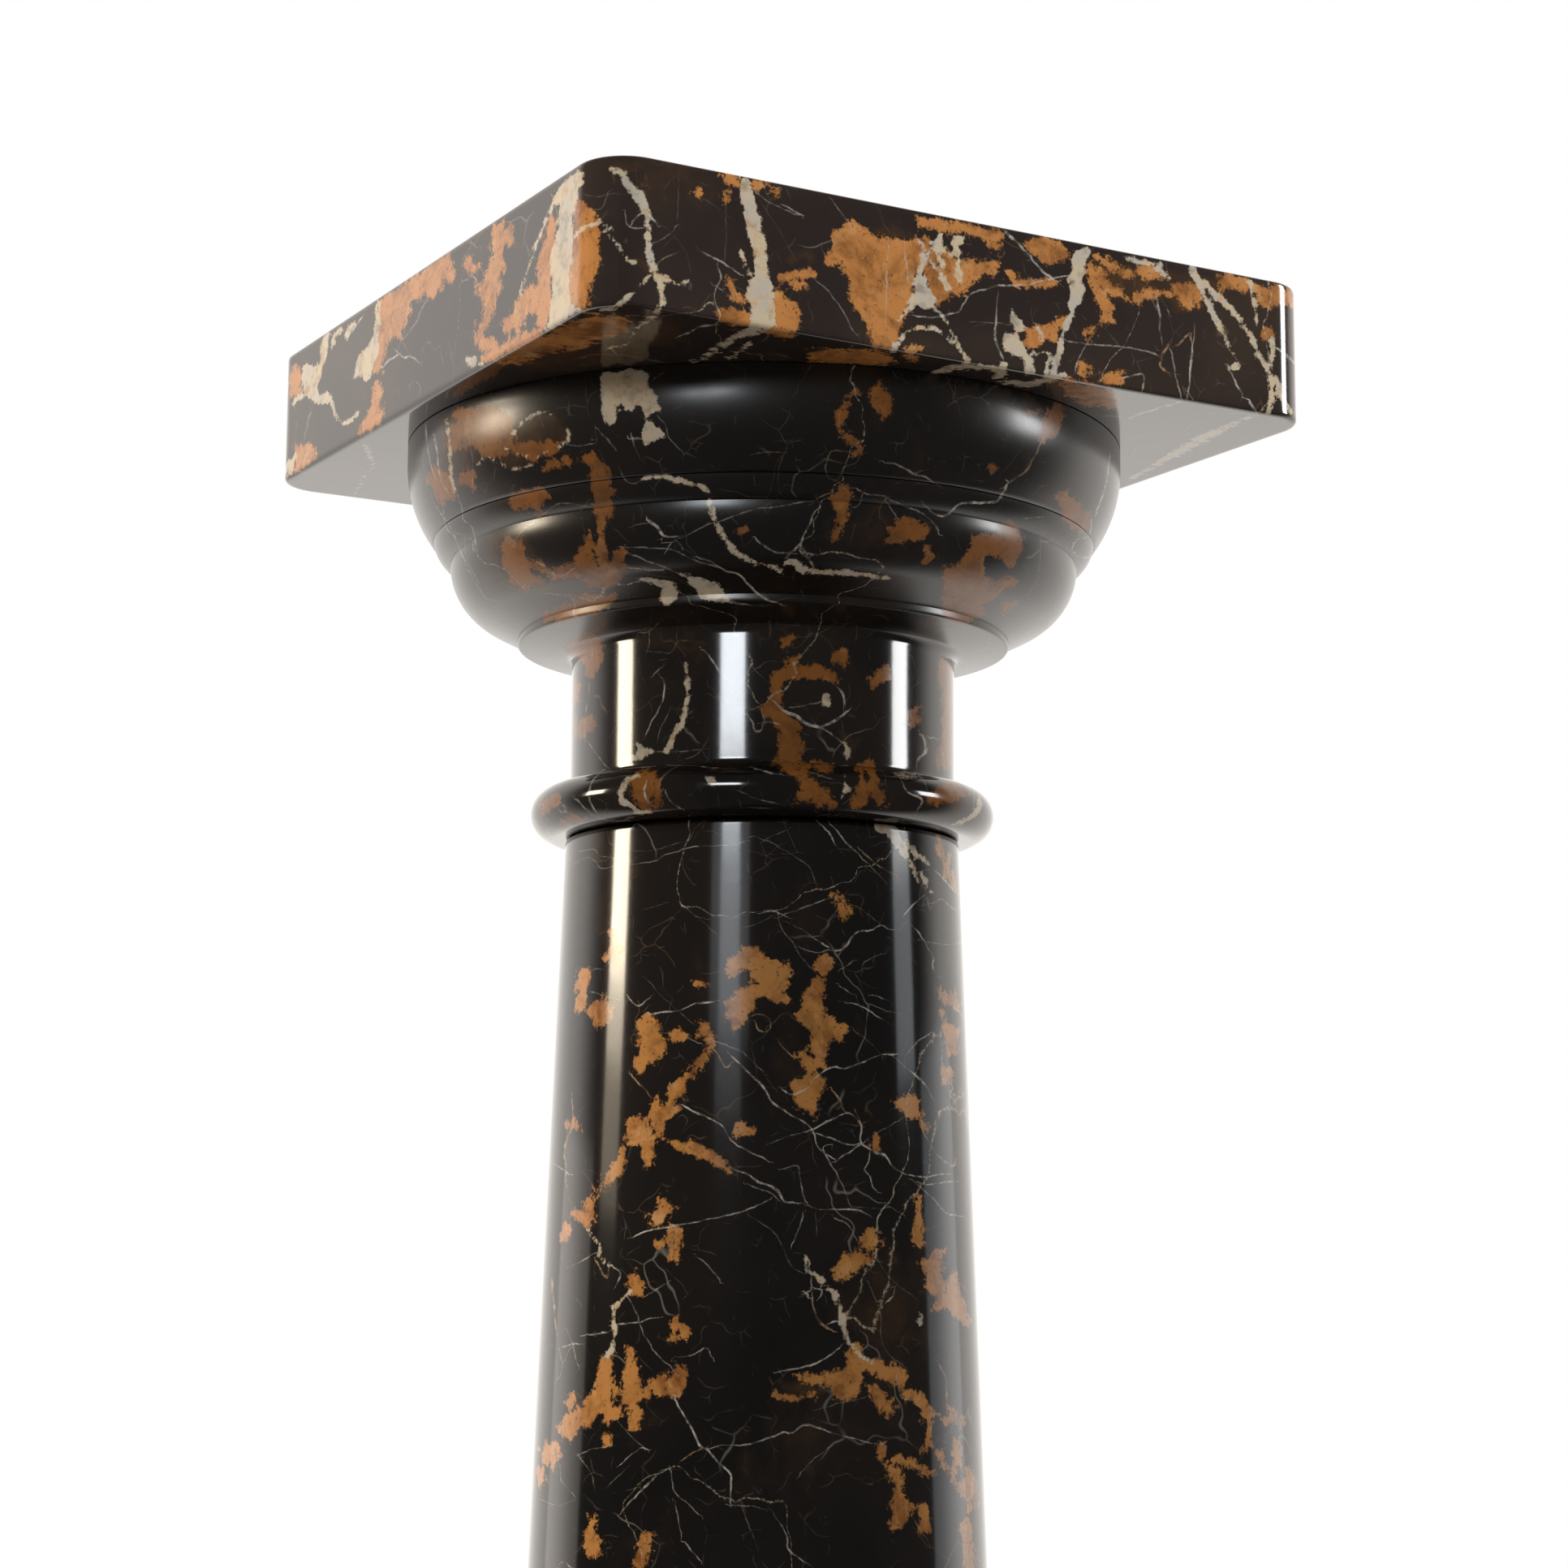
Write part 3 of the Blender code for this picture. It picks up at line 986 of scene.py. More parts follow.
@dataclass
class SquareStone(Stone):
    """A square stone with rounded upright corners and eased edges.

    Args:
        corner: the upright corners' radius.
        ease: the radius of the top and bottom edges.
        around: how many points go round it, a multiple of 64.
        step: the height between rows of points on its sides.
        ease_steps: the rows of points on each eased edge.
        cap_rings: for each doubling of the spacing, how many rings there are and how far apart.
    """

    corner: float = 0.018
    ease: float = 0.0015
    around: int = 1024
    step: float = 0.00115
    ease_steps: int = 3
    cap_rings: tuple[tuple[int, float], ...] = ((2, 0.0012), (10, 0.0024), (16, 0.0034), (12, 0.0050))

    def _ring(self, half: float, inset: float) -> np.ndarray:
        """Draws one ring of points round the stone.

        Args:
            half: half the stone's side.
            inset: how far the ring lies inside it.

        Returns:
            Points evenly spread round the ring, one (x, y) pair a row, the same way round for any inset.
        """
        radius = self.corner
        run = 2 * (half - radius)
        bend = radius * math.pi / 2
        at = np.arange(self.around) / self.around * 4 * (run + bend)
        leg, along = np.divmod(at, run + bend)
        turn = np.clip((along - run) / bend, 0.0, 1.0) * math.pi / 2
        straight = np.minimum(along, run)
        reach = np.maximum(radius - inset, 0.0)
        x = half - radius + reach * np.cos(turn)
        y = straight - (half - radius) + reach * np.sin(turn)
        inner = np.where(inset > radius, (half - inset) / (half - radius), 1.0)
        x, y = x * inner, y * inner
        angle = leg * math.pi / 2
        return np.stack([x * np.cos(angle) - y * np.sin(angle), x * np.sin(angle) + y * np.cos(angle)], 1)

    def surface(self) -> tuple[np.ndarray, list[tuple[int, ...]]]:
        """Builds the sides and both faces.

        Returns:
            The points, and the faces as tuples of point numbers.
        """
        low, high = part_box(self.node)
        centre = np.array([(low.x + high.x) / 2, (low.y + high.y) / 2])
        half = (high.x - low.x) / 2
        eased = [math.pi / 2 * number / self.ease_steps for number in range(self.ease_steps + 1)]
        rows = [(low.z + self.ease * (1 - math.sin(a)), self.ease * (1 - math.cos(a))) for a in reversed(eased)]
        count = round((high.z - low.z - 2 * self.ease) / self.step)
        upright = high.z - low.z - 2 * self.ease
        rows += [(low.z + self.ease + upright * number / count, 0.0) for number in range(1, count)]
        rows += [(high.z - self.ease * (1 - math.sin(a)), self.ease * (1 - math.cos(a))) for a in eased]
        levels = [np.column_stack([self._ring(half, inset) + centre, np.full(self.around, z)]) for z, inset in rows]
        faces = []
        after = [*range(1, self.around), 0]
        for row in range(len(rows) - 1):
            a0, b0 = row * self.around, (row + 1) * self.around
            faces += [(a0 + a, a0 + b, b0 + b, b0 + a) for a, b in enumerate(after)]
        points = list(levels)
        total = self.around * len(rows)
        for z, first, upward in ((low.z, 0, False), (high.z, (len(rows) - 1) * self.around, True)):
            total = self._cap(points, faces, total, first, half, centre, z, upward)
        return np.vstack(points), faces

    def _cap(self, points: list, faces: list, total: int, first: int, half: float, centre: np.ndarray, z: float,
             upward: bool) -> int:
        """Closes the top or the bottom with rings that thin out towards the middle.

        Args:
            points: the point blocks so far, added to.
            faces: the faces so far, added to.
            total: how many points there are so far.
            first: the number of the rim's first point.
            half: half the stone's side.
            centre: the stone's middle.
            z: the cap's height.
            upward: True for the top.

        Returns:
            How many points there are now.
        """
        outer = np.arange(first, first + self.around)
        inset, stride = self.ease, 1
        for stage, (count, gap) in enumerate(self.cap_rings):
            for number in range(count):
                halve = stage > 0 and number == 0
                stride *= 2 if halve else 1
                inset += gap
                ring = self._ring(half, inset)[::stride] + centre
                points.append(np.column_stack([ring, np.full(len(ring), z)]))
                inner = np.arange(total, total + len(ring))
                total += len(ring)
                self._join(faces, outer, inner, upward)
                outer = inner
        points.append(np.array([[*centre, z]]))
        after = np.roll(outer, -1)
        fan = [(int(a), int(b), total) if upward else (int(b), int(a), total) for a, b in zip(outer, after)]
        faces += fan
        return total + 1

    def _join(self, faces: list, outer: np.ndarray, inner: np.ndarray, upward: bool) -> None:
        """Joins two rings, of the same count or the inner one of half the outer's.

        Args:
            faces: the faces so far, added to.
            outer: the outer ring's point numbers.
            inner: the inner ring's point numbers.
            upward: True for the top.
        """
        made = []
        if len(outer) == len(inner):
            for a, b, c, d in zip(outer, np.roll(outer, -1), np.roll(inner, -1), inner):
                made.append((int(a), int(b), int(c), int(d)))
        else:
            ends = np.roll(outer[::2], -1)
            for a, m, b, c, d in zip(outer[::2], outer[1::2], ends, np.roll(inner, -1), inner):
                made += [(int(a), int(m), int(d)), (int(m), int(c), int(d)), (int(m), int(b), int(c))]
        faces += made if upward else [face[::-1] for face in made]


@dataclass
class Capital(TurnedStone):
    """The turned capital: astragal, neck, rim, ovolo, bead and drum, from its foot up.

    Args:
        astragal_height: the half-round ring at its foot.
        astragal_seat: how far the ring's centre stands out from the neck.
        neck_radius: the neck.
        neck_height: the neck's straight part.
        foot_cove: the small hollow under the neck.
        top_cove: the small hollow over the neck.
        underside_drop: how far the rim's underside slopes.
        rim_projection: how far the rim stands out from the neck.
        rim_height: the rim's upright face.
        rim_ease: its lower edge.
        ovolo_height: the large round moulding.
        ovolo_round: its radius.
        ovolo_sweep: how far it turns, in degrees.
        ovolo_setback: how far its top lies inside the drum.
        bead_height: the bead.
        bead_projection: how far the bead stands out from the ovolo.
        bead_sweep: how far it turns, in degrees.
        crease_depth: the cut between bead and drum.
        crease_height: the cut's height.
        drum_height: the drum.
        drum_straight: its upright part at the top.
        drum_sweep: how far its lower part turns, in degrees.
    """

    astragal_height: float = 0.0194
    astragal_seat: float = 0.0055
    neck_radius: float = 0.0745
    neck_height: float = 0.0501
    foot_cove: float = 0.0018
    top_cove: float = 0.0032
    underside_drop: float = 0.0029
    rim_projection: float = 0.0211
    rim_height: float = 0.0030
    rim_ease: float = 0.0008
    ovolo_height: float = 0.0284
    ovolo_round: float = 0.0244
    ovolo_sweep: float = 65.7
    ovolo_setback: float = 0.0174
    bead_height: float = 0.0081
    bead_projection: float = 0.0066
    bead_sweep: float = 51.6
    crease_depth: float = 0.0007
    crease_height: float = 0.0005
    drum_height: float = 0.0366
    drum_straight: float = 0.0067
    drum_sweep: float = 38.3

    def outline(self) -> list[Point]:
        """Draws the capital's side.

        Returns:
            (radius, height) points from its foot up.
        """
        drum_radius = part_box(self.node)[1].x
        quarter = math.pi / 2
        half = self.astragal_height / 2
        side = arc((self.neck_radius + self.astragal_seat, half), (half, half), -quarter, quarter, self.step)
        cove = (self.foot_cove, self.foot_cove)
        side += arc((self.neck_radius + self.foot_cove, 2 * half + self.foot_cove), cove, -quarter, -2 * quarter,
                    self.step)
        neck_top = 2 * half + self.neck_height
        side += arc((self.neck_radius + self.top_cove, neck_top), (self.top_cove, self.top_cove), 2 * quarter, quarter,
                    self.step)
        rim_foot = neck_top + self.top_cove + self.underside_drop
        rim_radius = self.neck_radius + self.rim_projection
        side += arc((rim_radius - self.rim_ease, rim_foot + self.rim_ease), (self.rim_ease, self.rim_ease), -quarter,
                    0.0, self.step)
        rim_top = rim_foot + self.rim_height
        side.append((rim_radius, rim_top))
        ovolo_radius = drum_radius - self.ovolo_setback
        ovolo_top = rim_top + self.ovolo_height
        ovolo = (self.ovolo_round, self.ovolo_round)
        side += arc((ovolo_radius - self.ovolo_round, ovolo_top), ovolo, -math.radians(self.ovolo_sweep), 0.0,
                    self.step)
        bead_top = ovolo_top + self.bead_height
        side += self._bead((ovolo_radius, ovolo_top), (ovolo_radius + self.bead_projection, bead_top))[1:]
        side.append((ovolo_radius + self.bead_projection - self.crease_depth, bead_top + self.crease_height / 2))
        drum_top = bead_top + self.crease_height + self.drum_height
        turn = math.radians(self.drum_sweep)
        drum_round = (self.drum_height - self.drum_straight) / math.sin(turn)
        side += arc((drum_radius - drum_round, drum_top - self.drum_straight), (drum_round, drum_round), -turn, 0.0,
                    self.step)
        side.append((drum_radius, drum_top))
        return spread(side, self.step)

    def _bead(self, low: Point, high: Point) -> list[Point]:
        """Draws the bead's arc, turning through its sweep.

        Args:
            low: where it starts.
            high: where it ends.

        Returns:
            (radius, height) points.
        """
        sweep = math.radians(self.bead_sweep)
        chord = math.dist(low, high)
        radius = chord / 2 / math.sin(sweep / 2)
        along = ((high[0] - low[0]) / chord, (high[1] - low[1]) / chord)
        reach = radius * math.cos(sweep / 2)
        centre = ((low[0] + high[0]) / 2 - along[1] * reach, (low[1] + high[1]) / 2 + along[0] * reach)
        start = math.atan2(low[1] - centre[1], low[0] - centre[0])
        return arc(centre, (radius, radius), start, start + sweep, self.step)


@dataclass
class Shaft(TurnedStone):
    """The plain tapered shaft.

    Args:
        top_radius: its radius under the capital.
        ease: the radius of its edges.
        shown_length: the length below its top where the points stay close.
        far_step: the spacing of the points below that.
    """

    top_radius: float = 0.0761
    ease: float = 0.0012
    sides: int = 330
    shown_length: float = 0.300
    far_step: float = 0.0065

    def outline(self) -> list[Point]:
        """Draws the shaft's side.

        Returns:
            (radius, height) points from its foot up.
        """
        low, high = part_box(self.node)
        length, foot_radius = high.z - low.z, high.x
        quarter = math.pi / 2
        ease = (self.ease, self.ease)
        foot = arc((foot_radius - self.ease, self.ease), ease, -quarter, 0.0, self.ease)
        top = arc((self.top_radius - self.ease, length - self.ease), ease, 0.0, quarter, self.ease)
        break_height = length - self.shown_length
        share = (break_height - self.ease) / (length - 2 * self.ease)
        break_point = (foot_radius + (self.top_radius - foot_radius) * share, break_height)
        return spread(foot + [break_point], self.far_step) + spread([break_point] + top, self.step)[1:]


@dataclass
class Base(TurnedStone):
    """The turned base: torus, fillet, cavetto, collar and bead, from its foot up.

    Args:
        torus_height: the large round moulding.
        fillet_height: the flat step over it.
        fillet_setback: how far the step lies inside the torus.
        cavetto_height: the hollow.
        collar_height: the flat ring over the hollow.
        collar_radius: that ring's radius.
        bead_height: the round ring under the shaft.
        bead_radius: that ring's radius.
    """

    torus_height: float = 0.044
    fillet_height: float = 0.006
    fillet_setback: float = 0.012
    cavetto_height: float = 0.025
    collar_height: float = 0.005
    collar_radius: float = 0.1073
    bead_height: float = 0.016
    bead_radius: float = 0.1113
    sides: int = 320
    step: float = 0.002

    def outline(self) -> list[Point]:
        """Draws the base's side.

        Returns:
            (radius, height) points from its foot up.
        """
        torus_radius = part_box(self.node)[1].x
        quarter = math.pi / 2
        half = self.torus_height / 2
        side = arc((torus_radius - half, half), (half, half), -quarter, quarter, self.step)
        fillet_radius = torus_radius - self.fillet_setback
        fillet_top = self.torus_height + self.fillet_height
        side.append((fillet_radius, self.torus_height))
        cavetto_top = fillet_top + self.cavetto_height
        hollow = (fillet_radius - self.collar_radius, self.cavetto_height)
        side += arc((fillet_radius, cavetto_top), hollow, -quarter, -2 * quarter, self.step)
        collar_top = cavetto_top + self.collar_height
        side.append((self.collar_radius, collar_top))
        ring = self.bead_height / 2
        side += arc((self.bead_radius - ring, collar_top + ring), (ring, ring), -quarter, quarter, self.step)
        return spread(side, self.step)


GOLD, CREAM, BROWN, DARK, TAN = Tone.GOLD, Tone.CREAM, Tone.BROWN, Tone.DARK, Tone.TAN

SLAB_CORNER_SWIRL = (
    *patches(GOLD, (711,247, 720,257, 727,265, 734,276, 737,307, 737,325, 732,340, 726,350, 720,360, 720,378, 706,376,
        700,360, 702,330, 704,300, 706,272), (678,262, 684,280, 682,310, 678,335, 680,360, 680,383, 672,402, 664,402,
        667,390, 660,382, 651,386, 646,398, 636,408, 623,404, 625,393, 634,381, 643,372, 653,359, 662,349, 668,338,
        666,325, 668,306, 673,286), (597,446, 604,428, 612,424, 625,424, 650,412, 672,403, 668,410, 640,424, 612,442)),
    Patch(CREAM, (700,219, 712,211, 720,209, 716,227, 710,247, 706,272, 705,295, 705,320, 702,340, 701,360, 705,375,
        715,381, 700,391, 687,402, 672,408, 675,392, 680,372, 679,352, 677,330, 679,315, 682,300, 686,285, 687,265,
        688,252, 683,243, 687,235, 694,224)),
    Band(CREAM, (690,232, 677,262, 667,283, 661,303, 653,325, 646,343, 640,364), (5, 4, 3, 2, 1)),
    Band(CREAM, (706,294, 715,283, 727,277, 742,275, 750,281, 758,285), (3, 4, 4, 5, 4, 2)),
    *veins((0.6, 1.6, 0.6), (647,295, 652,315, 654,325), (665,325, 664,338, 661,350), (665,340, 677,342)),
)

SLAB_LEFT_FACE = (
    *patches(GOLD, (610,280, 618,276, 618,288, 632,279, 629,300, 621,297, 618,304, 619,327, 616,348, 609,367, 607,388,
        602,398, 597,400, 598,384, 596,372, 589,362, 589,352, 597,346, 603,333, 608,313), (590,400, 597,402, 596,415,
        602,420, 608,418, 616,424, 612,432, 600,430, 592,428, 588,415), (574,317, 580,316, 582,326, 588,328, 586,333,
        579,335, 573,331), (553,316, 543,320, 513,341, 493,355, 469,371, 469,387, 467,413, 463,443, 462,457, 466,458,
        473,433, 480,416, 491,410, 500,397, 504,383, 500,376, 510,367, 527,361, 533,367, 540,358, 546,342, 554,327),
        (550,333, 557,335, 555,347, 550,343), (362,455, 368,452, 371,465, 368,480, 362,486, 358,490, 359,470),
        (364,552, 372,550, 385,553, 388,562, 378,570, 364,580, 366,565), (465,472, 468,484, 466,498, 467,521, 444,534,
        447,522, 456,508, 460,494)),
    *patches(CREAM, (465,405, 466,433, 461,448, 456,463, 451,470, 442,462, 435,468, 438,450, 443,438, 452,427,
        458,416), (372,452, 378,448, 388,452, 396,450, 397,462, 391,476, 392,487, 403,483, 409,488, 408,496, 396,499,
        386,497, 376,486, 371,473), (366,556, 364,570, 360,585, 354,588, 351,578, 356,568), (574,440, 586,439, 589,446,
        598,448, 584,454, 578,451)),
    Band(CREAM, (466,372, 464,385, 465,398, 464,410), (5,)),
    Band(CREAM, (404,412, 400,425, 398,440, 394,452), (3, 9, 8, 6)),
    Band(CREAM, (420,406, 412,415, 408,430), (6, 5, 3)),
    Band(CREAM, (437,396, 430,405, 426,418), (5, 5, 2)),
    Band(CREAM, (361,497, 368,490, 378,486), (4, 7, 7)),
    Band(CREAM, (408,495, 413,508, 418,519, 426,522, 435,516, 443,506), (5, 4, 3, 1.5)),
    Band(CREAM, (447,545, 455,560, 460,573, 450,585, 445,595, 437,607), (3, 6, 4, 2, 5, 3)),
    Patch(BROWN, (373,580, 400,572, 440,560, 495,565, 500,580, 430,590, 385,590)),
    Vein((445,392, 438,402, 432,412), (3, 4, 1)),
    Vein((383,507, 379,520, 376,535, 375,548), (2, 2.5, 1)),
    Vein((361,490, 364,510, 365,530, 362,550), (1.2,), TAN),
    Vein((471,452, 481,443, 489,438), (3,)),
    Vein((489,438, 492,425, 503,410, 514,395, 518,383, 525,372), (1.5,)),
    Vein((489,433, 498,441, 505,438, 513,444), (2, 3, 2)),
    Vein((503,380, 515,372, 525,370), (1.2,)),
    Vein((519,452, 521,428, 528,421, 536,432, 541,424, 545,445), (1.5,), TAN),
    Vein((553,420, 556,432, 557,445), (1.2,), TAN),
    Vein((503,488, 506,474, 512,470, 518,478, 515,490), (1.5,), TAN),
    Vein((574,345, 582,340, 588,348, 591,358), (2,)),
    Vein((592,290, 585,298, 582,310, 580,322), (1.2,), TAN),
)

SLAB_FRONT_LEFT = (
    *patches(BROWN, (748,203, 760,201, 796,203, 785,208, 765,209), (780,322, 790,320, 800,322, 806,330, 798,335,
        788,328)),
    Band(CREAM, (753,206, 766,215, 775,228, 787,243, 797,262, 799,278, 798,295, 800,312, 806,330, 812,346, 815,362,
        815,374, 808,386), (6, 9, 10, 13, 11, 8, 7, 7, 9, 8, 8, 9, 6)),
    Band(CREAM, (812,342, 822,342, 832,350, 840,350, 848,345), (5, 5, 3, 3, 4)),
    Band(CREAM, (802,338, 790,352, 775,365, 768,371, 752,380, 738,383), (2, 3, 3, 6, 4, 2)),
    Band(CREAM, (745,285, 757,297, 765,308, 774,322, 781,323), (2, 3, 4, 4, 3)),
    Band(CREAM, (808,388, 795,397, 782,408, 775,420, 765,425, 745,430), (6, 4, 4, 4, 3, 2)),
    Patch(BROWN, (600,448, 640,418, 690,402, 720,384, 780,388, 815,390, 830,400, 845,418, 820,427, 790,425, 800,445,
        700,455, 650,455)),
    Patch(GOLD, (612,445, 650,422, 700,404, 730,390, 775,394, 770,405, 745,412, 720,425, 680,432, 640,446)),
    Vein((800,266, 809,275), (3,)),
    Vein((795,262, 785,266, 778,275), (2.5,)),
    *veins((2,), (770,265, 773,277, 782,281, 795,281), (805,330, 815,320, 825,315, 832,312)),
    *veins((1.2,), (720,240, 738,242, 745,240), (705,257, 718,258, 740,257, 747,245, 750,238)),
    *tan_veins((1.2,), (836,215, 836,245, 835,275), (784,210, 785,230), (893,240, 895,280, 893,320)),
    Vein((800,300, 812,297, 825,288, 835,278), (1.8,)),
    Vein((812,275, 825,285, 845,310, 850,330), (1.1,), TAN),
    Vein((885,330, 888,345, 882,355, 880,370, 885,383), (3, 2, 2, 2.5)),
    Vein((880,352, 890,357, 900,365), (1.5,)),
    Vein((862,308, 880,318, 893,325, 912,338), (1, 3, 2)),
    Vein((928,235, 950,250, 975,262, 985,265), (1.5,)),
    Vein((968,254, 985,264), (2,)),
    Vein((935,245, 955,275, 975,310, 985,330), (1,), TAN),
    *veins((1.5,), (1000,340, 1020,358, 1040,385, 1050,405, 1058,415), (1026,247, 1035,260, 1048,276)),
)

SLAB_FRONT_MIDDLE = (
    Patch(CREAM, (910,219, 914,237, 915,255, 917,272, 922,290, 927,306, 930,320, 931,340, 922,345, 920,356, 921,370,
        925,386, 928,403, 945,408, 955,402, 954,385, 954,365, 951,350, 947,337, 945,322, 944,302, 940,285, 937,270,
        932,255, 929,240, 924,222)),
    Band(CREAM, (910,307, 917,320, 924,337), (2, 3, 4)),
    Band(CREAM, (930,405, 912,413, 895,423, 875,435, 862,443, 850,447), (14, 8, 7, 6, 6, 3)),
    Band(CREAM, (925,420, 915,430, 905,438, 895,442), (4,)),
    *patches(GOLD, (890,217, 900,219, 910,222, 910,229, 898,226), (925,226, 935,227, 945,229, 940,232, 930,230),
        (855,236, 862,234, 865,238, 860,241), (893,238, 897,237, 899,243, 896,247), (950,237, 958,235, 961,238,
        955,241), (955,362, 965,370, 975,376, 983,390, 985,400, 978,410, 962,405, 956,400), (885,385, 900,382, 915,383,
        922,388, 925,400, 905,400, 886,392), (940,405, 955,403, 980,402, 975,412, 965,413, 945,408)),
    Band(GOLD, (900,350, 905,362, 915,370, 922,373), (4,)),
    Band(GOLD, (963,342, 975,339, 990,338, 1000,340), (5,)),
    Band(GOLD, (976,353, 988,352), (5,)),
    Band(BROWN, (975,320, 990,314, 998,318), (5,)),
    Vein((882,400, 862,403, 850,410, 836,414), (2.5,)),
)

SLAB_BIG_GOLD = (
    *patches(GOLD, (1025,292, 1030,286, 1041,280, 1052,272, 1062,280, 1071,287, 1081,293, 1092,297, 1112,299, 1130,297,
        1135,303, 1136,320, 1132,333, 1127,346, 1124,358, 1120,370, 1116,382, 1110,391, 1107,405, 1105,420, 1097,430,
        1080,427, 1072,419, 1074,405, 1067,395, 1057,380, 1050,362, 1049,345, 1042,330, 1035,322, 1025,323, 1020,319,
        1026,309), (1134,297, 1142,296, 1150,303, 1165,312, 1180,320, 1192,320, 1205,325, 1222,325, 1228,327, 1217,337,
        1206,343, 1197,346, 1193,353, 1189,362, 1179,360, 1171,360, 1166,369, 1155,373, 1146,366, 1140,347, 1136,325),
        (1130,268, 1155,272, 1180,276, 1205,281, 1228,287, 1236,290, 1228,294, 1216,296, 1207,292, 1200,286, 1190,284,
        1175,287, 1155,281, 1135,279), (1218,300, 1228,298, 1238,300, 1232,305, 1226,306), (1115,432, 1125,425,
        1132,430, 1128,440, 1115,436), (1264,299, 1280,295, 1300,298, 1312,304, 1317,314, 1312,322, 1300,320, 1290,322,
        1280,315, 1270,308)),
    Patch(DARK, (1187,295, 1200,288, 1208,294, 1222,303, 1232,310, 1222,320, 1205,322, 1190,318)),
    Patch(BROWN, (1075,285, 1090,280, 1110,285, 1128,292, 1110,297, 1090,294)),
    Patch(GOLD, (1000,434, 1060,434, 1100,441, 1080,448, 1000,446)),
    *patches(CREAM, (1127,342, 1133,338, 1140,341, 1144,352, 1150,362, 1156,371, 1146,380, 1137,381, 1130,377,
        1122,382, 1111,391, 1107,396, 1116,378, 1123,360, 1130,362, 1126,351), (1147,298, 1155,292, 1160,284, 1161,298,
        1166,311, 1158,312, 1150,308), (1170,298, 1175,290, 1187,289, 1189,297, 1182,303, 1181,312, 1172,319, 1166,316,
        1176,307)),
    Band(CREAM, (1136,300, 1137,320, 1134,335, 1130,345), (3, 5, 6, 8)),
    Band(CREAM, (1132,295, 1142,310, 1150,325, 1160,340, 1168,355), (3, 3, 3, 6, 8)),
    Band(CREAM, (1148,300, 1156,315, 1163,330), (6, 5, 4)),
    Band(CREAM, (1181,310, 1181,325, 1180,337, 1184,350), (4, 4, 9, 3)),
    Band(CREAM, (1147,380, 1160,388, 1170,403, 1180,421, 1189,440, 1191,447), (2, 4, 3, 4, 5, 6)),
    Band(CREAM, (1100,432, 1110,417, 1120,408, 1132,404, 1146,404, 1157,408, 1168,418, 1182,428), (8, 5, 4, 3, 5, 3, 2,
        3)),
    *veins((2,), (1095,303, 1093,330, 1092,360, 1091,395), (1114,303, 1117,325, 1119,342)),
    Vein((1235,305, 1238,312, 1234,318, 1230,316), (1.5,), TAN),
    Vein((1130,390, 1150,391, 1170,387, 1181,384, 1188,374, 1197,362, 1212,357, 1230,352, 1262,351, 1280,347,
        1312,340), (2.5,)),
    Band(GOLD, (1242,335, 1250,340, 1253,345), (4,)),
    Band(GOLD, (1247,345, 1270,350, 1300,350), (3,)),
    Vein((1239,286, 1254,300, 1267,313, 1280,330, 1295,342, 1307,350), (4, 3, 2.5, 3, 3, 1.5)),
)

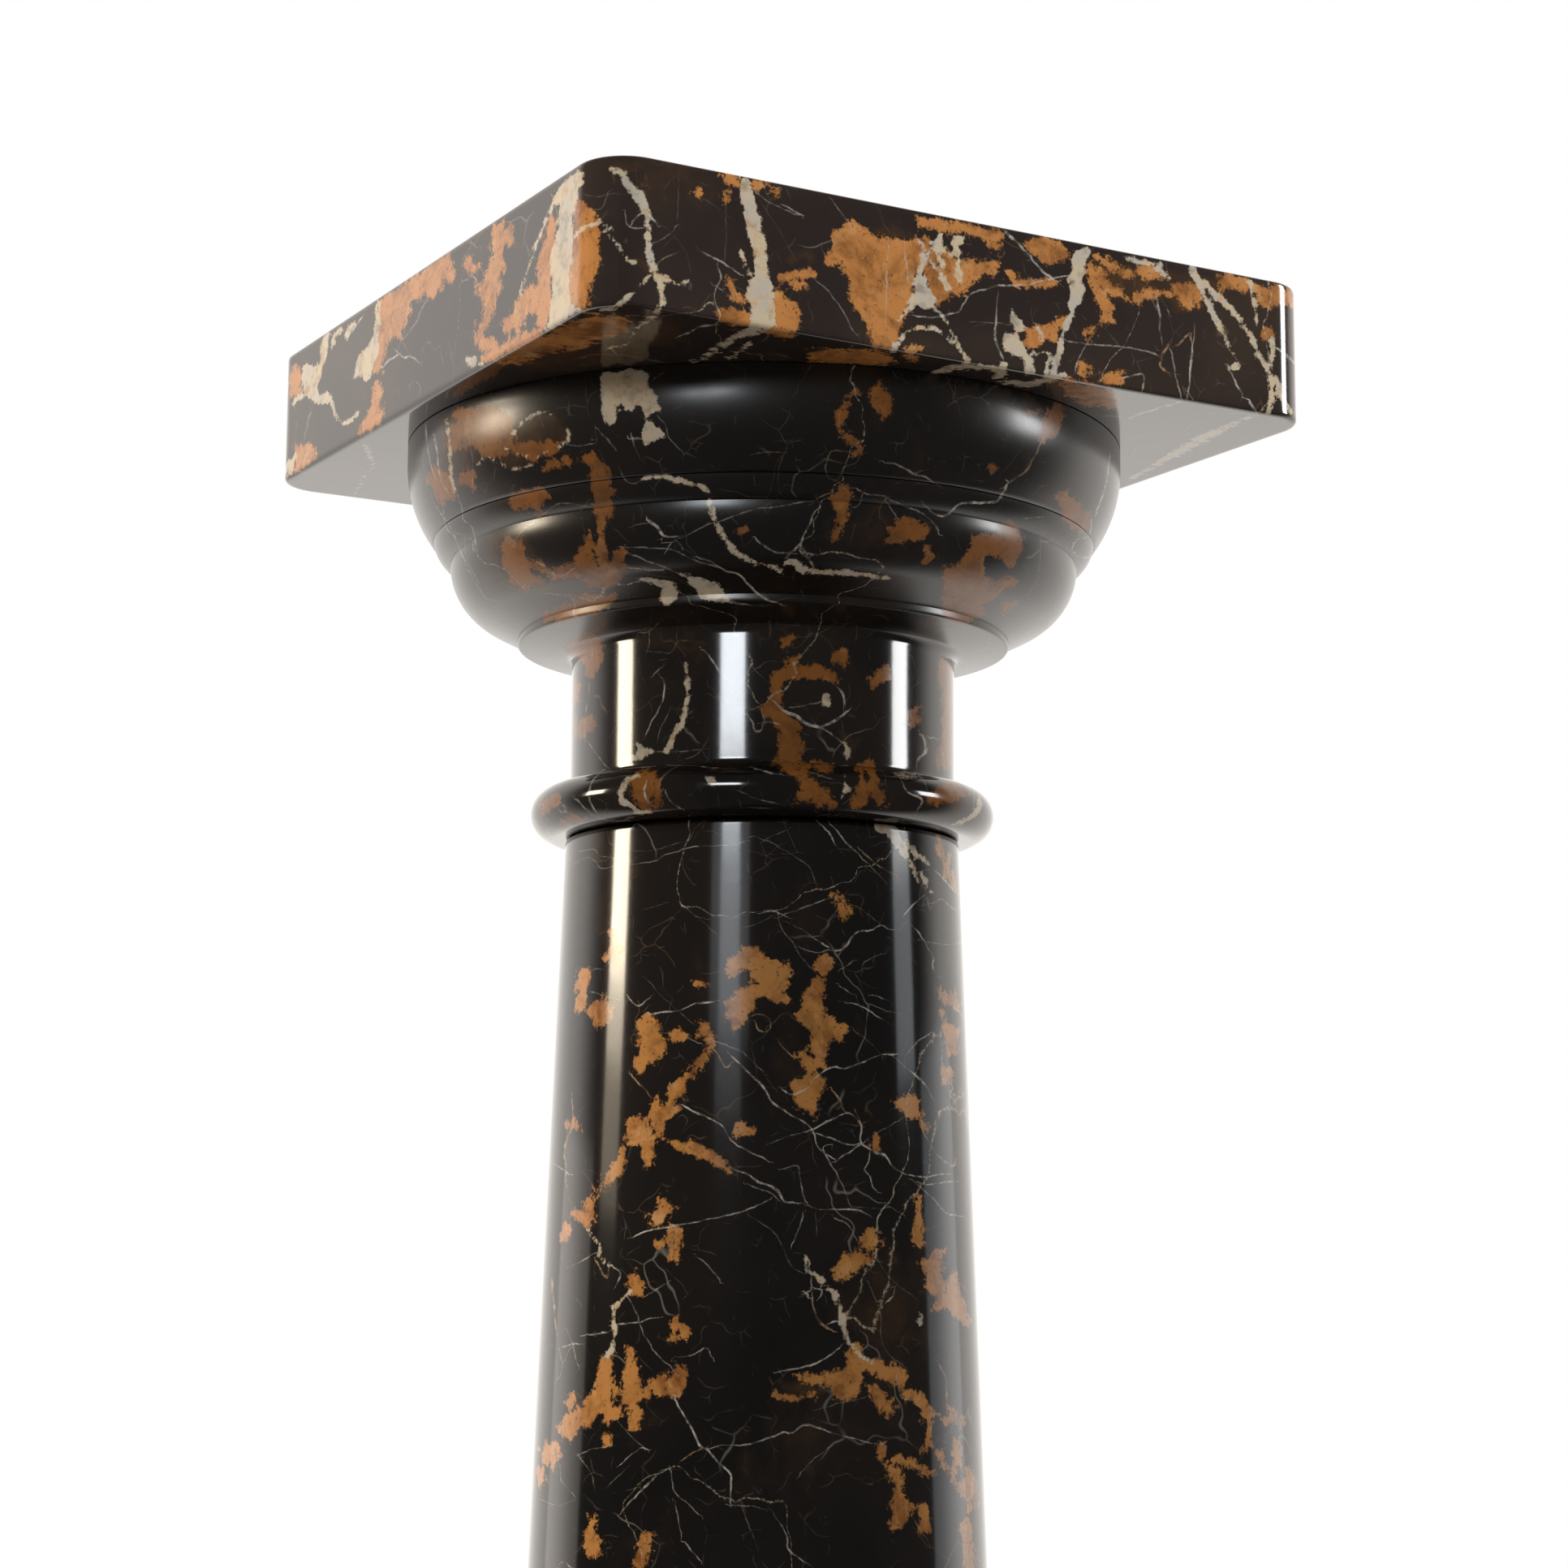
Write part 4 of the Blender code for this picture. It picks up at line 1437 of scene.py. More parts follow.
SLAB_FRONT_RIGHT = (
    Patch(CREAM, (1322,309, 1335,305, 1347,307, 1338,319, 1338,331, 1334,341, 1335,352, 1336,363, 1332,373, 1325,379,
        1321,385, 1315,380, 1317,370, 1319,357, 1321,346, 1315,347, 1322,334, 1320,322)),
    Band(CREAM, (1321,383, 1318,393, 1312,403, 1309,413), (6, 5, 6, 5)),
    Band(CREAM, (1308,415, 1306,430, 1301,445, 1299,462), (5, 9, 8, 9)),
    Band(CREAM, (1262,432, 1272,435, 1282,434, 1290,433, 1293,440, 1290,455, 1288,462), (3,)),
    *patches(CREAM, (1246,376, 1250,386, 1253,392, 1259,396, 1263,405, 1257,411, 1256,420, 1264,428, 1270,441,
        1276,460, 1264,463, 1262,450, 1257,440, 1246,438, 1237,430, 1234,420, 1238,410, 1248,412, 1249,402, 1245,393),
        (1233,444, 1243,447, 1241,460, 1228,470, 1220,466, 1230,456)),
    *patches(GOLD, (1267,405, 1276,403, 1302,405, 1301,415, 1288,418, 1284,425, 1272,427, 1262,422, 1268,414),
        (1298,400, 1308,391, 1313,395, 1306,401)),
    Band(CREAM, (1273,395, 1280,408, 1284,418), (2, 4, 4)),
    Band(CREAM, (1150,460, 1180,452, 1210,452, 1230,455), (6,)),
    Band(CREAM, (1240,470, 1265,474, 1290,468, 1310,462), (7,)),
    Vein((1230,360, 1228,380, 1227,400, 1226,415, 1230,430, 1235,440), (1, 1.5, 2, 3, 3, 3)),
    Vein((1200,397, 1220,397, 1245,400), (1.2,)),
    Patch(BROWN, (1340,320, 1420,330, 1500,345, 1590,360, 1590,378, 1560,374, 1540,370, 1530,356, 1512,355, 1505,370,
        1480,378, 1450,385, 1440,370, 1380,372, 1350,360)),
    Patch(GOLD, (1341,325, 1354,327, 1361,338, 1357,349, 1346,343)),
    Band(GOLD, (1350,318, 1365,325, 1378,332, 1390,337, 1402,337), (4,)),
    Band(GOLD, (1355,345, 1368,355, 1385,365, 1400,368, 1418,362, 1440,362), (4, 8, 6, 5, 5, 3)),
    Band(GOLD, (1347,348, 1354,360, 1358,370, 1365,380), (3, 5, 6, 7)),
    *patches(GOLD, (1402,333, 1415,328, 1425,333, 1431,343, 1422,346, 1410,341), (1445,352, 1455,350, 1475,349,
        1480,358, 1477,372, 1467,377, 1457,373, 1452,362), (1545,352, 1575,357, 1590,361, 1592,376, 1572,377, 1560,374,
        1550,365), (1500,340, 1530,345, 1545,352, 1535,355, 1515,354, 1505,358)),
    Band(CREAM, (1468,332, 1480,354, 1490,378, 1498,393, 1507,411, 1514,428, 1521,440, 1527,452), (9, 9, 7, 6, 7, 3, 3,
        3)),
    Patch(CREAM, (1511,447, 1516,452, 1522,446, 1530,457, 1518,456, 1511,459)),
    Band(CREAM, (1482,347, 1503,368, 1522,387, 1535,404, 1545,422, 1551,438, 1562,455, 1572,470, 1580,492, 1590,508),
        (5, 7, 6, 7, 5, 6, 6)),
    Band(CREAM, (1568,417, 1567,432, 1566,455, 1567,480, 1563,507), (7, 6, 4, 6, 5)),
    Band(CREAM, (1541,347, 1544,365, 1547,382, 1550,403), (6, 5, 3, 2)),
    Band(CREAM, (1385,315, 1400,322, 1412,324, 1430,326), (3, 8, 4, 3)),
    Band(CREAM, (1425,328, 1433,337, 1440,343), (6, 7, 3)),
    *patches(GOLD, (1557,406, 1566,406, 1567,414, 1557,415), (1355,388, 1365,386, 1368,394, 1360,397), (1340,410,
        1348,405, 1345,418), (1332,449, 1340,448, 1340,457, 1333,458), (1358,459, 1368,458, 1382,460, 1383,475,
        1360,474), (1310,472, 1350,477, 1375,487, 1380,500, 1340,497, 1315,485)),
    Patch(BROWN, (1400,528, 1440,533, 1500,538, 1440,548, 1400,548)),
    Band(CREAM, (1545,512, 1510,527, 1480,541, 1450,558, 1420,575, 1390,592), (3, 7, 10, 9, 5, 3)),
    Vein((1517,458, 1522,470, 1530,485), (3,)),
    Vein((1572,428, 1585,438, 1598,450), (3, 5, 3)),
    Vein((1426,368, 1429,390, 1429,405, 1432,425), (2, 3.5, 2, 1)),
    *veins((1.5,), (1418,365, 1424,378), (1433,370, 1440,385)),
    Vein((1472,400, 1470,425, 1467,450, 1465,475, 1463,490), (1, 3, 2)),
    Vein((1463,482, 1470,492), (1.5,)),
    *veins((2,), (1443,432, 1447,455, 1452,475, 1455,488), (1313,420, 1340,424, 1370,426, 1400,430, 1420,435,
        1430,440), (1338,425, 1330,440, 1325,455)),
    Vein((1362,405, 1378,425), (1,)),
    Vein((1385,465, 1408,462, 1408,478), (2.5,)),
    Vein((1450,425, 1457,420, 1465,412, 1467,420), (3,), TAN),
    Vein((1440,425, 1433,435, 1430,450, 1437,458), (4,), TAN),
    Vein((1540,495, 1547,508), (4,)),
    Vein((1455,495, 1420,505, 1390,515), (3,)),
    Vein((1350,512, 1385,513), (2,)),
)

SLAB_FEATURES = (SLAB_CORNER_SWIRL + SLAB_LEFT_FACE + SLAB_FRONT_LEFT + SLAB_FRONT_MIDDLE + SLAB_BIG_GOLD
                 + SLAB_FRONT_RIGHT)

DRUM_AND_BEAD = (
    *patches(CREAM, (742,461, 750,460, 790,455, 800,462, 799,477, 810,490, 814,505, 807,511, 800,511, 795,517, 791,502,
        782,497, 780,506, 770,506, 765,495, 757,500, 760,515, 759,521, 750,524, 746,517, 740,502, 739,490, 742,482,
        740,467), (795,520, 802,519, 806,524, 814,525, 819,539, 807,541, 802,547, 795,549, 791,535)),
    Vein((779,540, 786,541, 795,541), (3, 2)),
    Vein((779,540, 782,550, 787,560), (3, 2, 1)),
    Vein((737,530, 746,539, 756,550), (2,)),
    *veins((1.5,), (812,515, 820,525, 825,540, 839,555), (805,467, 810,464, 816,461)),
    Vein((696,547, 712,549, 727,547), (1.8,)),
    Patch(BROWN, (537,522, 550,510, 567,506, 586,501, 610,502, 625,510, 630,522, 632,535, 640,522, 650,515, 667,507,
        680,509, 690,517, 700,530, 702,540, 695,547, 680,555, 660,562, 652,572, 640,577, 627,579, 620,572, 610,567,
        600,562, 592,570, 584,577, 582,600, 567,604, 556,615, 542,617, 530,600, 531,585, 537,572, 540,540)),
    *patches(GOLD, (562,507, 610,505, 630,515, 631,540, 625,550, 620,560, 600,560, 587,550, 567,545, 560,552, 554,550,
        555,527, 567,522), (529,590, 537,577, 552,590, 560,600, 557,612, 545,617, 537,605), (567,582, 582,580, 582,600,
        570,597), (630,552, 655,547, 690,545, 680,555, 660,561, 650,563, 640,560)),
    Band(CREAM, (631,535, 640,524, 650,516, 667,507, 680,510, 692,520, 701,532, 702,542, 695,547, 685,552, 672,556,
        664,562), (2.4, 1.6)),
    Band(CREAM, (655,572, 640,577, 627,579, 620,572, 607,567, 600,562, 592,569, 584,577), (2,)),
    Band(CREAM, (620,552, 632,556, 650,562), (2.2,)),
    Band(CREAM, (550,517, 552,530, 555,547, 555,565, 557,590, 561,604), (2, 3, 4, 4, 4)),
    *veins((2,), (564,612, 569,625, 571,640, 582,650, 586,672), (525,522, 526,540, 530,570, 537,590)),
    Vein((536,540, 539,565, 542,587, 549,602), (2.5,)),
    Vein((579,545, 582,565, 582,600), (1.5,)),
    Vein((546,630, 550,650, 560,660, 566,677, 575,695), (2,)),
    Vein((577,702, 585,717, 597,735, 607,740), (1.6,)),
    Vein((572,660, 576,690, 590,720), (1.5,)),
    Patch(GOLD, (625,615, 640,610, 660,605, 670,605, 675,610, 660,615, 665,622, 666,635, 660,624, 640,624)),
    Band(CREAM, (791,591, 804,587, 820,587, 835,592, 852,596, 867,601, 875,610, 876,622, 880,638, 886,652, 895,667,
        907,680, 922,690, 937,695, 955,701, 962,705), (4, 7, 5, 3, 4, 6, 6, 7, 6, 4, 5, 3)),
    Vein((765,580, 769,590, 777,596, 791,592), (1.6,)),
    Band(GOLD, (1054,484, 1045,487, 1041,500, 1037,510, 1036,522, 1039,532, 1047,540, 1057,547, 1060,552, 1055,559),
        (2, 2, 3, 7, 6, 3, 2, 3, 3, 2)),
    Vein((1047,465, 1046,470, 1052,477, 1054,484), (1.5,)),
    Vein((1046,485, 1040,500, 1034,512, 1034,525), (1.6,), TAN),
    Vein((1040,555, 1025,556, 1020,567, 1016,577, 1020,587, 1035,595, 1040,600), (1.8,), TAN),
    Patch(GOLD, (1075,482, 1085,472, 1091,477, 1092,487, 1097,492, 1099,505, 1090,511, 1080,507, 1074,497)),
    Vein((1090,570, 1102,571, 1115,577, 1127,585, 1140,587, 1150,594, 1160,600), (2, 2, 3, 2, 1)),
    Vein((1127,584, 1137,580), (1.5,)),
    Vein((930,559, 945,557, 963,557), (1.5,), TAN),
    *patches(GOLD, (1290,517, 1305,515, 1307,525, 1305,537, 1297,535, 1285,545, 1282,540), (1292,507, 1302,500,
        1309,512, 1305,517, 1296,515), (1267,510, 1272,505, 1277,507, 1271,514), (1220,575, 1226,576, 1222,582)),
    *patches(BROWN, (1255,482, 1267,482, 1275,495, 1260,496), (1241,482, 1247,480, 1247,490)),
    Vein((1237,600, 1250,590, 1262,582, 1270,572, 1277,557, 1285,540, 1292,532), (2.2,), TAN),
    Patch(GOLD, (1302,612, 1315,607, 1330,625, 1340,635, 1337,656, 1330,655, 1315,637, 1305,622)),
    Vein((1345,640, 1342,660, 1327,665, 1321,675, 1327,685, 1342,687), (2.5,)),
    Vein((1367,562, 1364,590, 1357,615, 1351,632), (3,)),
)

OVOLO = (
    Vein((634,671, 642,655, 652,647, 665,637, 680,625, 692,620, 712,622, 734,627), (2, 3, 2, 2, 1.5), TAN),
    Patch(GOLD, (730,562, 734,570, 750,582, 749,600, 755,605, 754,630, 747,637, 741,652, 740,665, 746,680, 746,700,
        740,702, 736,680, 739,657, 739,637, 734,627, 732,605, 729,600, 730,582)),
    Band(GOLD, (675,576, 690,570, 712,566, 730,565), (2.5,)),
    Patch(GOLD, (725,655, 730,672, 730,690, 736,700, 750,697, 755,685, 765,675, 769,680, 765,690, 770,705, 760,715,
        747,722, 725,722, 720,712, 695,712, 662,715, 650,722, 632,715, 622,692, 620,672, 627,665, 640,667, 645,680,
        650,690, 665,695, 685,705, 697,700, 705,690, 717,680, 722,665)),
    Patch(DARK, (642,704, 660,700, 685,711, 675,716, 665,714, 650,707)),
    Patch(BROWN, (600,655, 640,647, 660,685, 695,712, 750,722, 725,735, 675,740, 612,740, 595,715, 600,685)),
    Patch(GOLD, (665,765, 675,757, 700,745, 720,735, 740,735, 757,732, 740,752, 715,759, 690,763)),
    Vein((650,687, 675,700, 690,710, 705,702), (2,)),
    Vein((705,737, 709,747, 707,755, 711,760), (2.5,)),
    Band(CREAM, (967,695, 977,692, 987,700, 1000,704, 1022,704, 1050,706, 1075,710, 1097,712), (3, 9, 6, 6, 6, 4, 3,
        1)),
    Vein((971,684, 985,672, 990,660, 1000,640, 1002,632, 1010,625, 1007,615), (4, 3, 2, 3, 2, 1)),
    Vein((860,652, 872,646, 885,642, 905,636, 920,630, 937,626, 960,624, 980,620, 1000,617), (1.8,)),
    *veins((2.5,), (932,665, 945,675, 960,681, 975,682), (987,680, 997,690, 1004,701)),
    Vein((860,687, 875,692, 892,702, 912,709, 922,720, 932,730, 945,739, 955,742, 967,746), (2, 2, 3, 4, 1.5)),
    Vein((767,675, 795,675, 822,677, 835,680, 855,690, 870,695, 890,700), (1.8,)),
    Vein((832,665, 845,660, 860,652), (1.5,)),
    Vein((822,677, 832,665, 838,672), (2,)),
    Vein((800,642, 810,650, 815,657, 822,661, 836,661), (5, 5, 3, 1.5)),
    Vein((780,648, 797,644), (1.2,)),
    Patch(CREAM, (780,710, 790,712, 810,712, 825,715, 835,727, 832,740, 820,746, 812,740, 815,727, 805,720, 790,716)),
    Vein((775,682, 795,690, 820,699, 832,705, 850,712), (2, 2, 4)),
    Vein((775,700, 800,702, 818,702), (2,)),
    Patch(CREAM, (832,704, 850,709, 860,711, 872,717, 885,721, 893,730, 899,742, 885,742, 870,738, 862,735, 857,725,
        848,715)),
    Vein((899,742, 920,745, 945,747), (3, 1)),
    Patch(GOLD, (1035,602, 1046,602, 1045,625, 1040,640, 1037,652, 1030,662, 1026,665, 1030,647, 1032,630, 1025,612,
        1032,607)),
    Vein((1000,620, 1010,612, 1025,607, 1035,605), (2,), TAN),
    Vein((1052,625, 1060,620, 1062,610), (1.5,)),
    Vein((1057,604, 1072,609, 1087,612, 1100,617, 1120,626, 1135,632, 1147,642, 1157,655), (2,)),
    Vein((1090,615, 1097,625, 1104,636), (1.5,)),
    Vein((1139,622, 1150,632, 1161,637, 1172,631, 1180,622, 1195,619, 1217,619, 1230,616, 1237,606, 1240,597), (1.5, 3,
        3, 3, 4, 3, 5, 3)),
    *patches(GOLD, (1101,652, 1112,640, 1127,640, 1140,652, 1139,662, 1110,665, 1094,666, 1107,657), (1140,675,
        1144,672, 1146,680, 1152,686, 1142,692, 1139,682), (910,652, 916,652, 920,656, 914,660), (1200,665, 1212,660,
        1227,660, 1230,647, 1240,642, 1252,650, 1257,660, 1260,672, 1252,692, 1242,697, 1230,685, 1218,680, 1207,690,
        1207,705, 1218,715, 1232,716, 1247,712, 1250,718, 1235,725, 1215,745, 1207,757, 1195,766, 1175,765, 1162,752,
        1163,735, 1167,720, 1163,712, 1163,702, 1180,697, 1195,685, 1200,675), (1237,745, 1252,742, 1250,752,
        1237,757)),
    Vein((1262,639, 1275,638, 1287,637), (2,)),
    *patches(BROWN, (1130,765, 1165,765, 1172,775, 1160,780, 1130,778), (707,767, 737,767, 755,777, 755,785, 740,782,
        720,781)),
)

NECK = (
    Patch(GOLD, (707,785, 727,782, 740,790, 741,810, 735,825, 729,834, 722,830, 722,815, 707,810, 697,797)),
    Vein((726,787, 730,800, 729,810), (1.6,)),
    Vein((726,840, 725,860, 722,880, 720,910, 726,917, 740,937, 747,945), (1.8,)),
    *patches(GOLD, (712,887, 730,884, 732,892, 722,902, 715,912, 710,900), (707,840, 715,845, 710,862, 706,865)),
    Patch(CREAM, (784,915, 797,920, 807,926, 792,935, 775,940, 765,940, 767,932, 784,932)),
    Band(CREAM, (845,815, 846,835, 848,852, 845,870, 840,890, 832,902, 825,917, 822,925), (1.5, 3, 5, 6, 6, 6, 7, 8)),
    Vein((815,835, 819,845, 817,860, 810,877, 802,890, 800,897, 796,905), (1.5, 2.5, 2.5, 2, 2)),
    *veins((1.5,), (800,780, 800,790, 797,805), (792,780, 802,777, 812,767)),
    Vein((800,802, 815,804, 827,804, 835,790, 847,789), (1.2,)),
    Vein((805,832, 815,822), (1.5,)),
    Vein((867,802, 877,812, 885,825, 892,835), (2, 3, 3, 2)),
    Vein((825,875, 815,895, 810,912), (1.2,)),
    Vein((807,927, 825,926, 850,925, 865,924), (1.5,)),
    *veins((1.2,), (850,905, 860,920, 872,935), (872,912, 857,930, 840,937)),
    Vein((922,882, 927,890, 930,900, 937,900, 940,890), (3,)),
    Vein((940,890, 955,890), (2.5,)),
    Vein((940,880, 941,888), (2,)),
    Vein((920,876, 935,870), (1.5,)),
    *veins((1.2,), (935,822, 945,815, 955,815), (922,815, 930,825, 940,835)),
    Patch(GOLD, (965,790, 975,781, 979,785, 975,794, 965,796)),
    Band(GOLD, (1030,839, 1020,832, 1007,829, 995,827, 980,829, 967,830, 960,837, 957,847, 956,862), (4, 8, 12, 14, 15,
        14, 14, 12, 12)),
    Patch(GOLD, (951,861, 936,870, 942,880, 957,890, 962,900, 965,915, 957,932, 955,938, 985,938, 986,920, 989,912,
        982,902, 987,892, 980,887, 965,882, 960,870)),
    Vein((954,864, 965,875, 980,882, 995,892, 1010,895, 1025,890, 1035,884, 1044,877), (2, 4, 5, 4, 4)),
    Vein((975,872, 990,869, 1012,865), (2,)),
    Vein((1020,837, 1032,847, 1040,860, 1040,870), (1.5, 2, 4, 2)),
    Vein((1010,895, 1025,905, 1037,915), (2,)),
    Band(CREAM, (1040,915, 1044,925, 1044,937), (3, 9, 5)),
    Patch(CREAM, (1013,857, 1017,855, 1022,857, 1023,865, 1021,870, 1015,870, 1012,863)),
    Patch(GOLD, (1025,807, 1036,802, 1042,812, 1042,821, 1035,817, 1027,817)),
    Patch(DARK, (1031,808, 1035,807, 1037,813, 1033,813)),
    *patches(GOLD, (1075,837, 1087,822, 1094,825, 1094,835, 1080,840, 1075,845), (966,815, 975,812, 984,807, 982,815,
        972,821)),
    Patch(BROWN, (1035,902, 1050,912, 1057,912, 1047,935, 1042,920)),
    Patch(GOLD, (1122,875, 1130,872, 1130,887, 1122,897)),
    Vein((1135,906, 1141,915, 1140,927, 1132,935, 1130,945), (3, 5, 5, 4, 2)),
    Vein((1140,907, 1152,910), (2,)),
    Patch(GOLD, (1160,815, 1172,817, 1174,840, 1170,890, 1171,945, 1157,945, 1152,937, 1162,915, 1165,880, 1162,845)),
    *veins((2,), (1161,840, 1161,862), (1162,927, 1164,955)),
)

ASTRAGAL = (
    *patches(GOLD, (960,940, 1000,940, 995,946, 990,950, 1005,965, 1007,975, 1025,982, 1025,990, 1010,990, 1000,982,
        985,987, 984,980, 992,975, 987,965, 980,955, 970,950), (1005,944, 1025,945, 1022,949, 1010,952), (785,955,
        800,950, 807,952, 812,975, 812,992, 802,999, 790,992, 780,985, 780,965)),
    Patch(DARK, (797,967, 800,967, 810,985, 805,990, 799,985)),
    Vein((796,966, 794,975, 796,985, 801,990), (3,)),
    Band(CREAM, (785,955, 772,962, 767,972, 765,985, 775,992, 787,1000, 800,1002), (4, 6, 7, 8, 7, 5, 3)),
    Vein((740,952, 730,962, 726,975, 726,985, 732,997), (2.5,)),
    *patches(GOLD, (667,990, 685,980, 687,990, 680,990, 670,1002), (695,1012, 702,1007, 720,1010, 700,1017)),
    Vein((710,985, 720,995, 732,1005, 745,1010, 760,1011, 780,1007), (1.8,)),
    Vein((840,942, 825,950, 815,960, 812,970), (1.5,)),
    Vein((820,977, 825,987, 837,995), (2,)),
    Patch(CREAM, (870,957, 880,957, 880,966, 872,966, 869,961)),
    Vein((930,947, 947,952, 965,955), (3, 2)),
    # The first of these two white lines, along the neck's foot, is a painted reflection: the light line that the small
    # cove there mirrors, drawn as a white vein.
    *veins((1.5,), (865,945, 900,947), (915,977, 935,985, 960,991)),
    Vein((920,995, 945,996), (1.2,)),
    Band(GOLD, (1060,945, 1062,957, 1065,980, 1057,989), (4, 6, 10, 8)),
    Band(GOLD, (1070,945, 1075,957, 1075,970, 1082,982, 1087,990), (10, 8, 8, 10, 8)),
    Patch(CREAM, (1040,955, 1043,967, 1051,973, 1043,977, 1035,985, 1040,973)),
    Vein((1000,952, 1025,960), (1.5,)),
    Vein((1112,965, 1117,975, 1132,982, 1136,987, 1130,999), (2, 2.5, 4, 2)),
    Vein((1130,952, 1140,965, 1142,975), (1.5,)),
    Patch(BROWN, (1137,982, 1162,972, 1160,960, 1177,962, 1197,980, 1197,990, 1180,1005, 1160,990, 1140,990)),
    Patch(GOLD, (1140,982, 1160,970, 1165,962, 1180,968, 1190,980, 1170,985, 1150,988)),
    Band(CREAM, (1175,1016, 1187,1012, 1200,1005, 1207,992, 1207,982), (3, 5, 6, 6, 4)),
    Vein((1180,961, 1192,970, 1200,982, 1199,997), (2,)),
    Vein((1195,965, 1204,984), (1.5,)),
)

CAPITAL_FEATURES = DRUM_AND_BEAD + OVOLO + NECK + ASTRAGAL

SHAFT_TOP = (
    Vein((700,1069, 722,1057, 732,1060, 741,1070, 762,1066, 787,1064, 810,1060, 816,1054, 835,1049, 850,1044, 880,1042,
        902,1041, 917,1037), (1, 1.5, 1.5, 2, 2)),
    Vein((715,1049, 732,1047, 740,1055, 760,1057), (1.5,)),
    *veins((1.2,), (787,1049, 810,1046, 840,1037), (902,1041, 912,1050, 920,1054, 922,1067, 925,1080), (797,1119,
        817,1114)),
    Vein((840,1115, 862,1132, 880,1149), (1.3,)),
    *veins((1.5,), (942,1036, 957,1027, 970,1022), (920,1032, 930,1030, 940,1035, 952,1039, 965,1047, 982,1056,
        995,1066, 1000,1075, 1005,1089)),
    Vein((965,1012, 972,1027, 980,1045), (1.2,)),
    Vein((1002,1007, 1020,1025, 1027,1037, 1036,1049), (1, 3, 3, 1)),
    Vein((1025,1017, 1040,1035, 1055,1050, 1075,1070, 1100,1097), (3, 2.5, 2, 1.5, 1)),
    Vein((1060,1047, 1080,1065, 1100,1077), (3,), TAN),
    Band(CREAM, (1085,1015, 1100,1025, 1110,1042, 1120,1060, 1127,1075, 1131,1086), (16, 16, 12, 7, 5, 2)),
    Band(CREAM, (1117,1037, 1127,1052, 1140,1060, 1148,1068), (5, 9, 7, 2)),
    Vein((1131,1075, 1140,1072), (2,)),
    Band(CREAM, (1135,1077, 1140,1087, 1143,1096, 1150,1100), (4, 6, 4, 1.5)),
    Vein((1150,1071, 1162,1082, 1178,1100), (1.5, 4, 3)),
    Vein((1140,1115, 1152,1112, 1160,1108, 1175,1120), (2, 2, 3)),
    Vein((1117,1125, 1125,1115, 1140,1102), (4, 2)),
    Patch(GOLD, (1157,1030, 1165,1050, 1170,1075, 1177,1095, 1167,1082, 1160,1055)),
    Vein((967,1127, 982,1121, 1000,1115, 1010,1110, 1025,1106), (3, 2.5, 3, 3, 2)),
    Vein((940,1124, 954,1122, 960,1126, 969,1130), (2, 4, 3)),
    Vein((920,1142, 937,1137, 950,1129), (1.5,)),
    Vein((959,1135, 965,1147, 977,1162, 985,1177, 997,1190), (1.8,)),
    Vein((970,1136, 995,1150, 1012,1162, 1020,1166), (1.2, 1.5, 3)),
    Patch(GOLD, (1026,1105, 1035,1110, 1042,1122, 1037,1134, 1032,1120)),
    Vein((985,1167, 1005,1174, 1020,1170, 1032,1172, 1042,1167, 1050,1155, 1060,1147, 1072,1147, 1085,1140, 1095,1145,
        1107,1145, 1117,1135), (1.5, 2, 2, 3, 4, 4, 5, 4, 2, 2, 2, 1.5)),
    Vein((1040,1110, 1060,1120, 1080,1135), (1.8,), TAN),
    Vein((1137,1160, 1165,1164, 1182,1162), (2,)),
    Vein((1120,1137, 1132,1150, 1142,1165, 1150,1180, 1149,1192, 1157,1204), (1, 3, 3, 3, 2.5, 1.5)),
    Patch(GOLD, (1017,1175, 1022,1180, 1022,1192, 1015,1200, 1007,1192, 1010,1182)),
    Vein((1062,1197, 1065,1185, 1087,1175), (1.5,)),
    Vein((1037,1194, 1050,1185), (2,)),
    Patch(GOLD, (757,1150, 760,1160, 762,1170, 760,1185, 750,1182, 742,1180, 752,1170)),
)

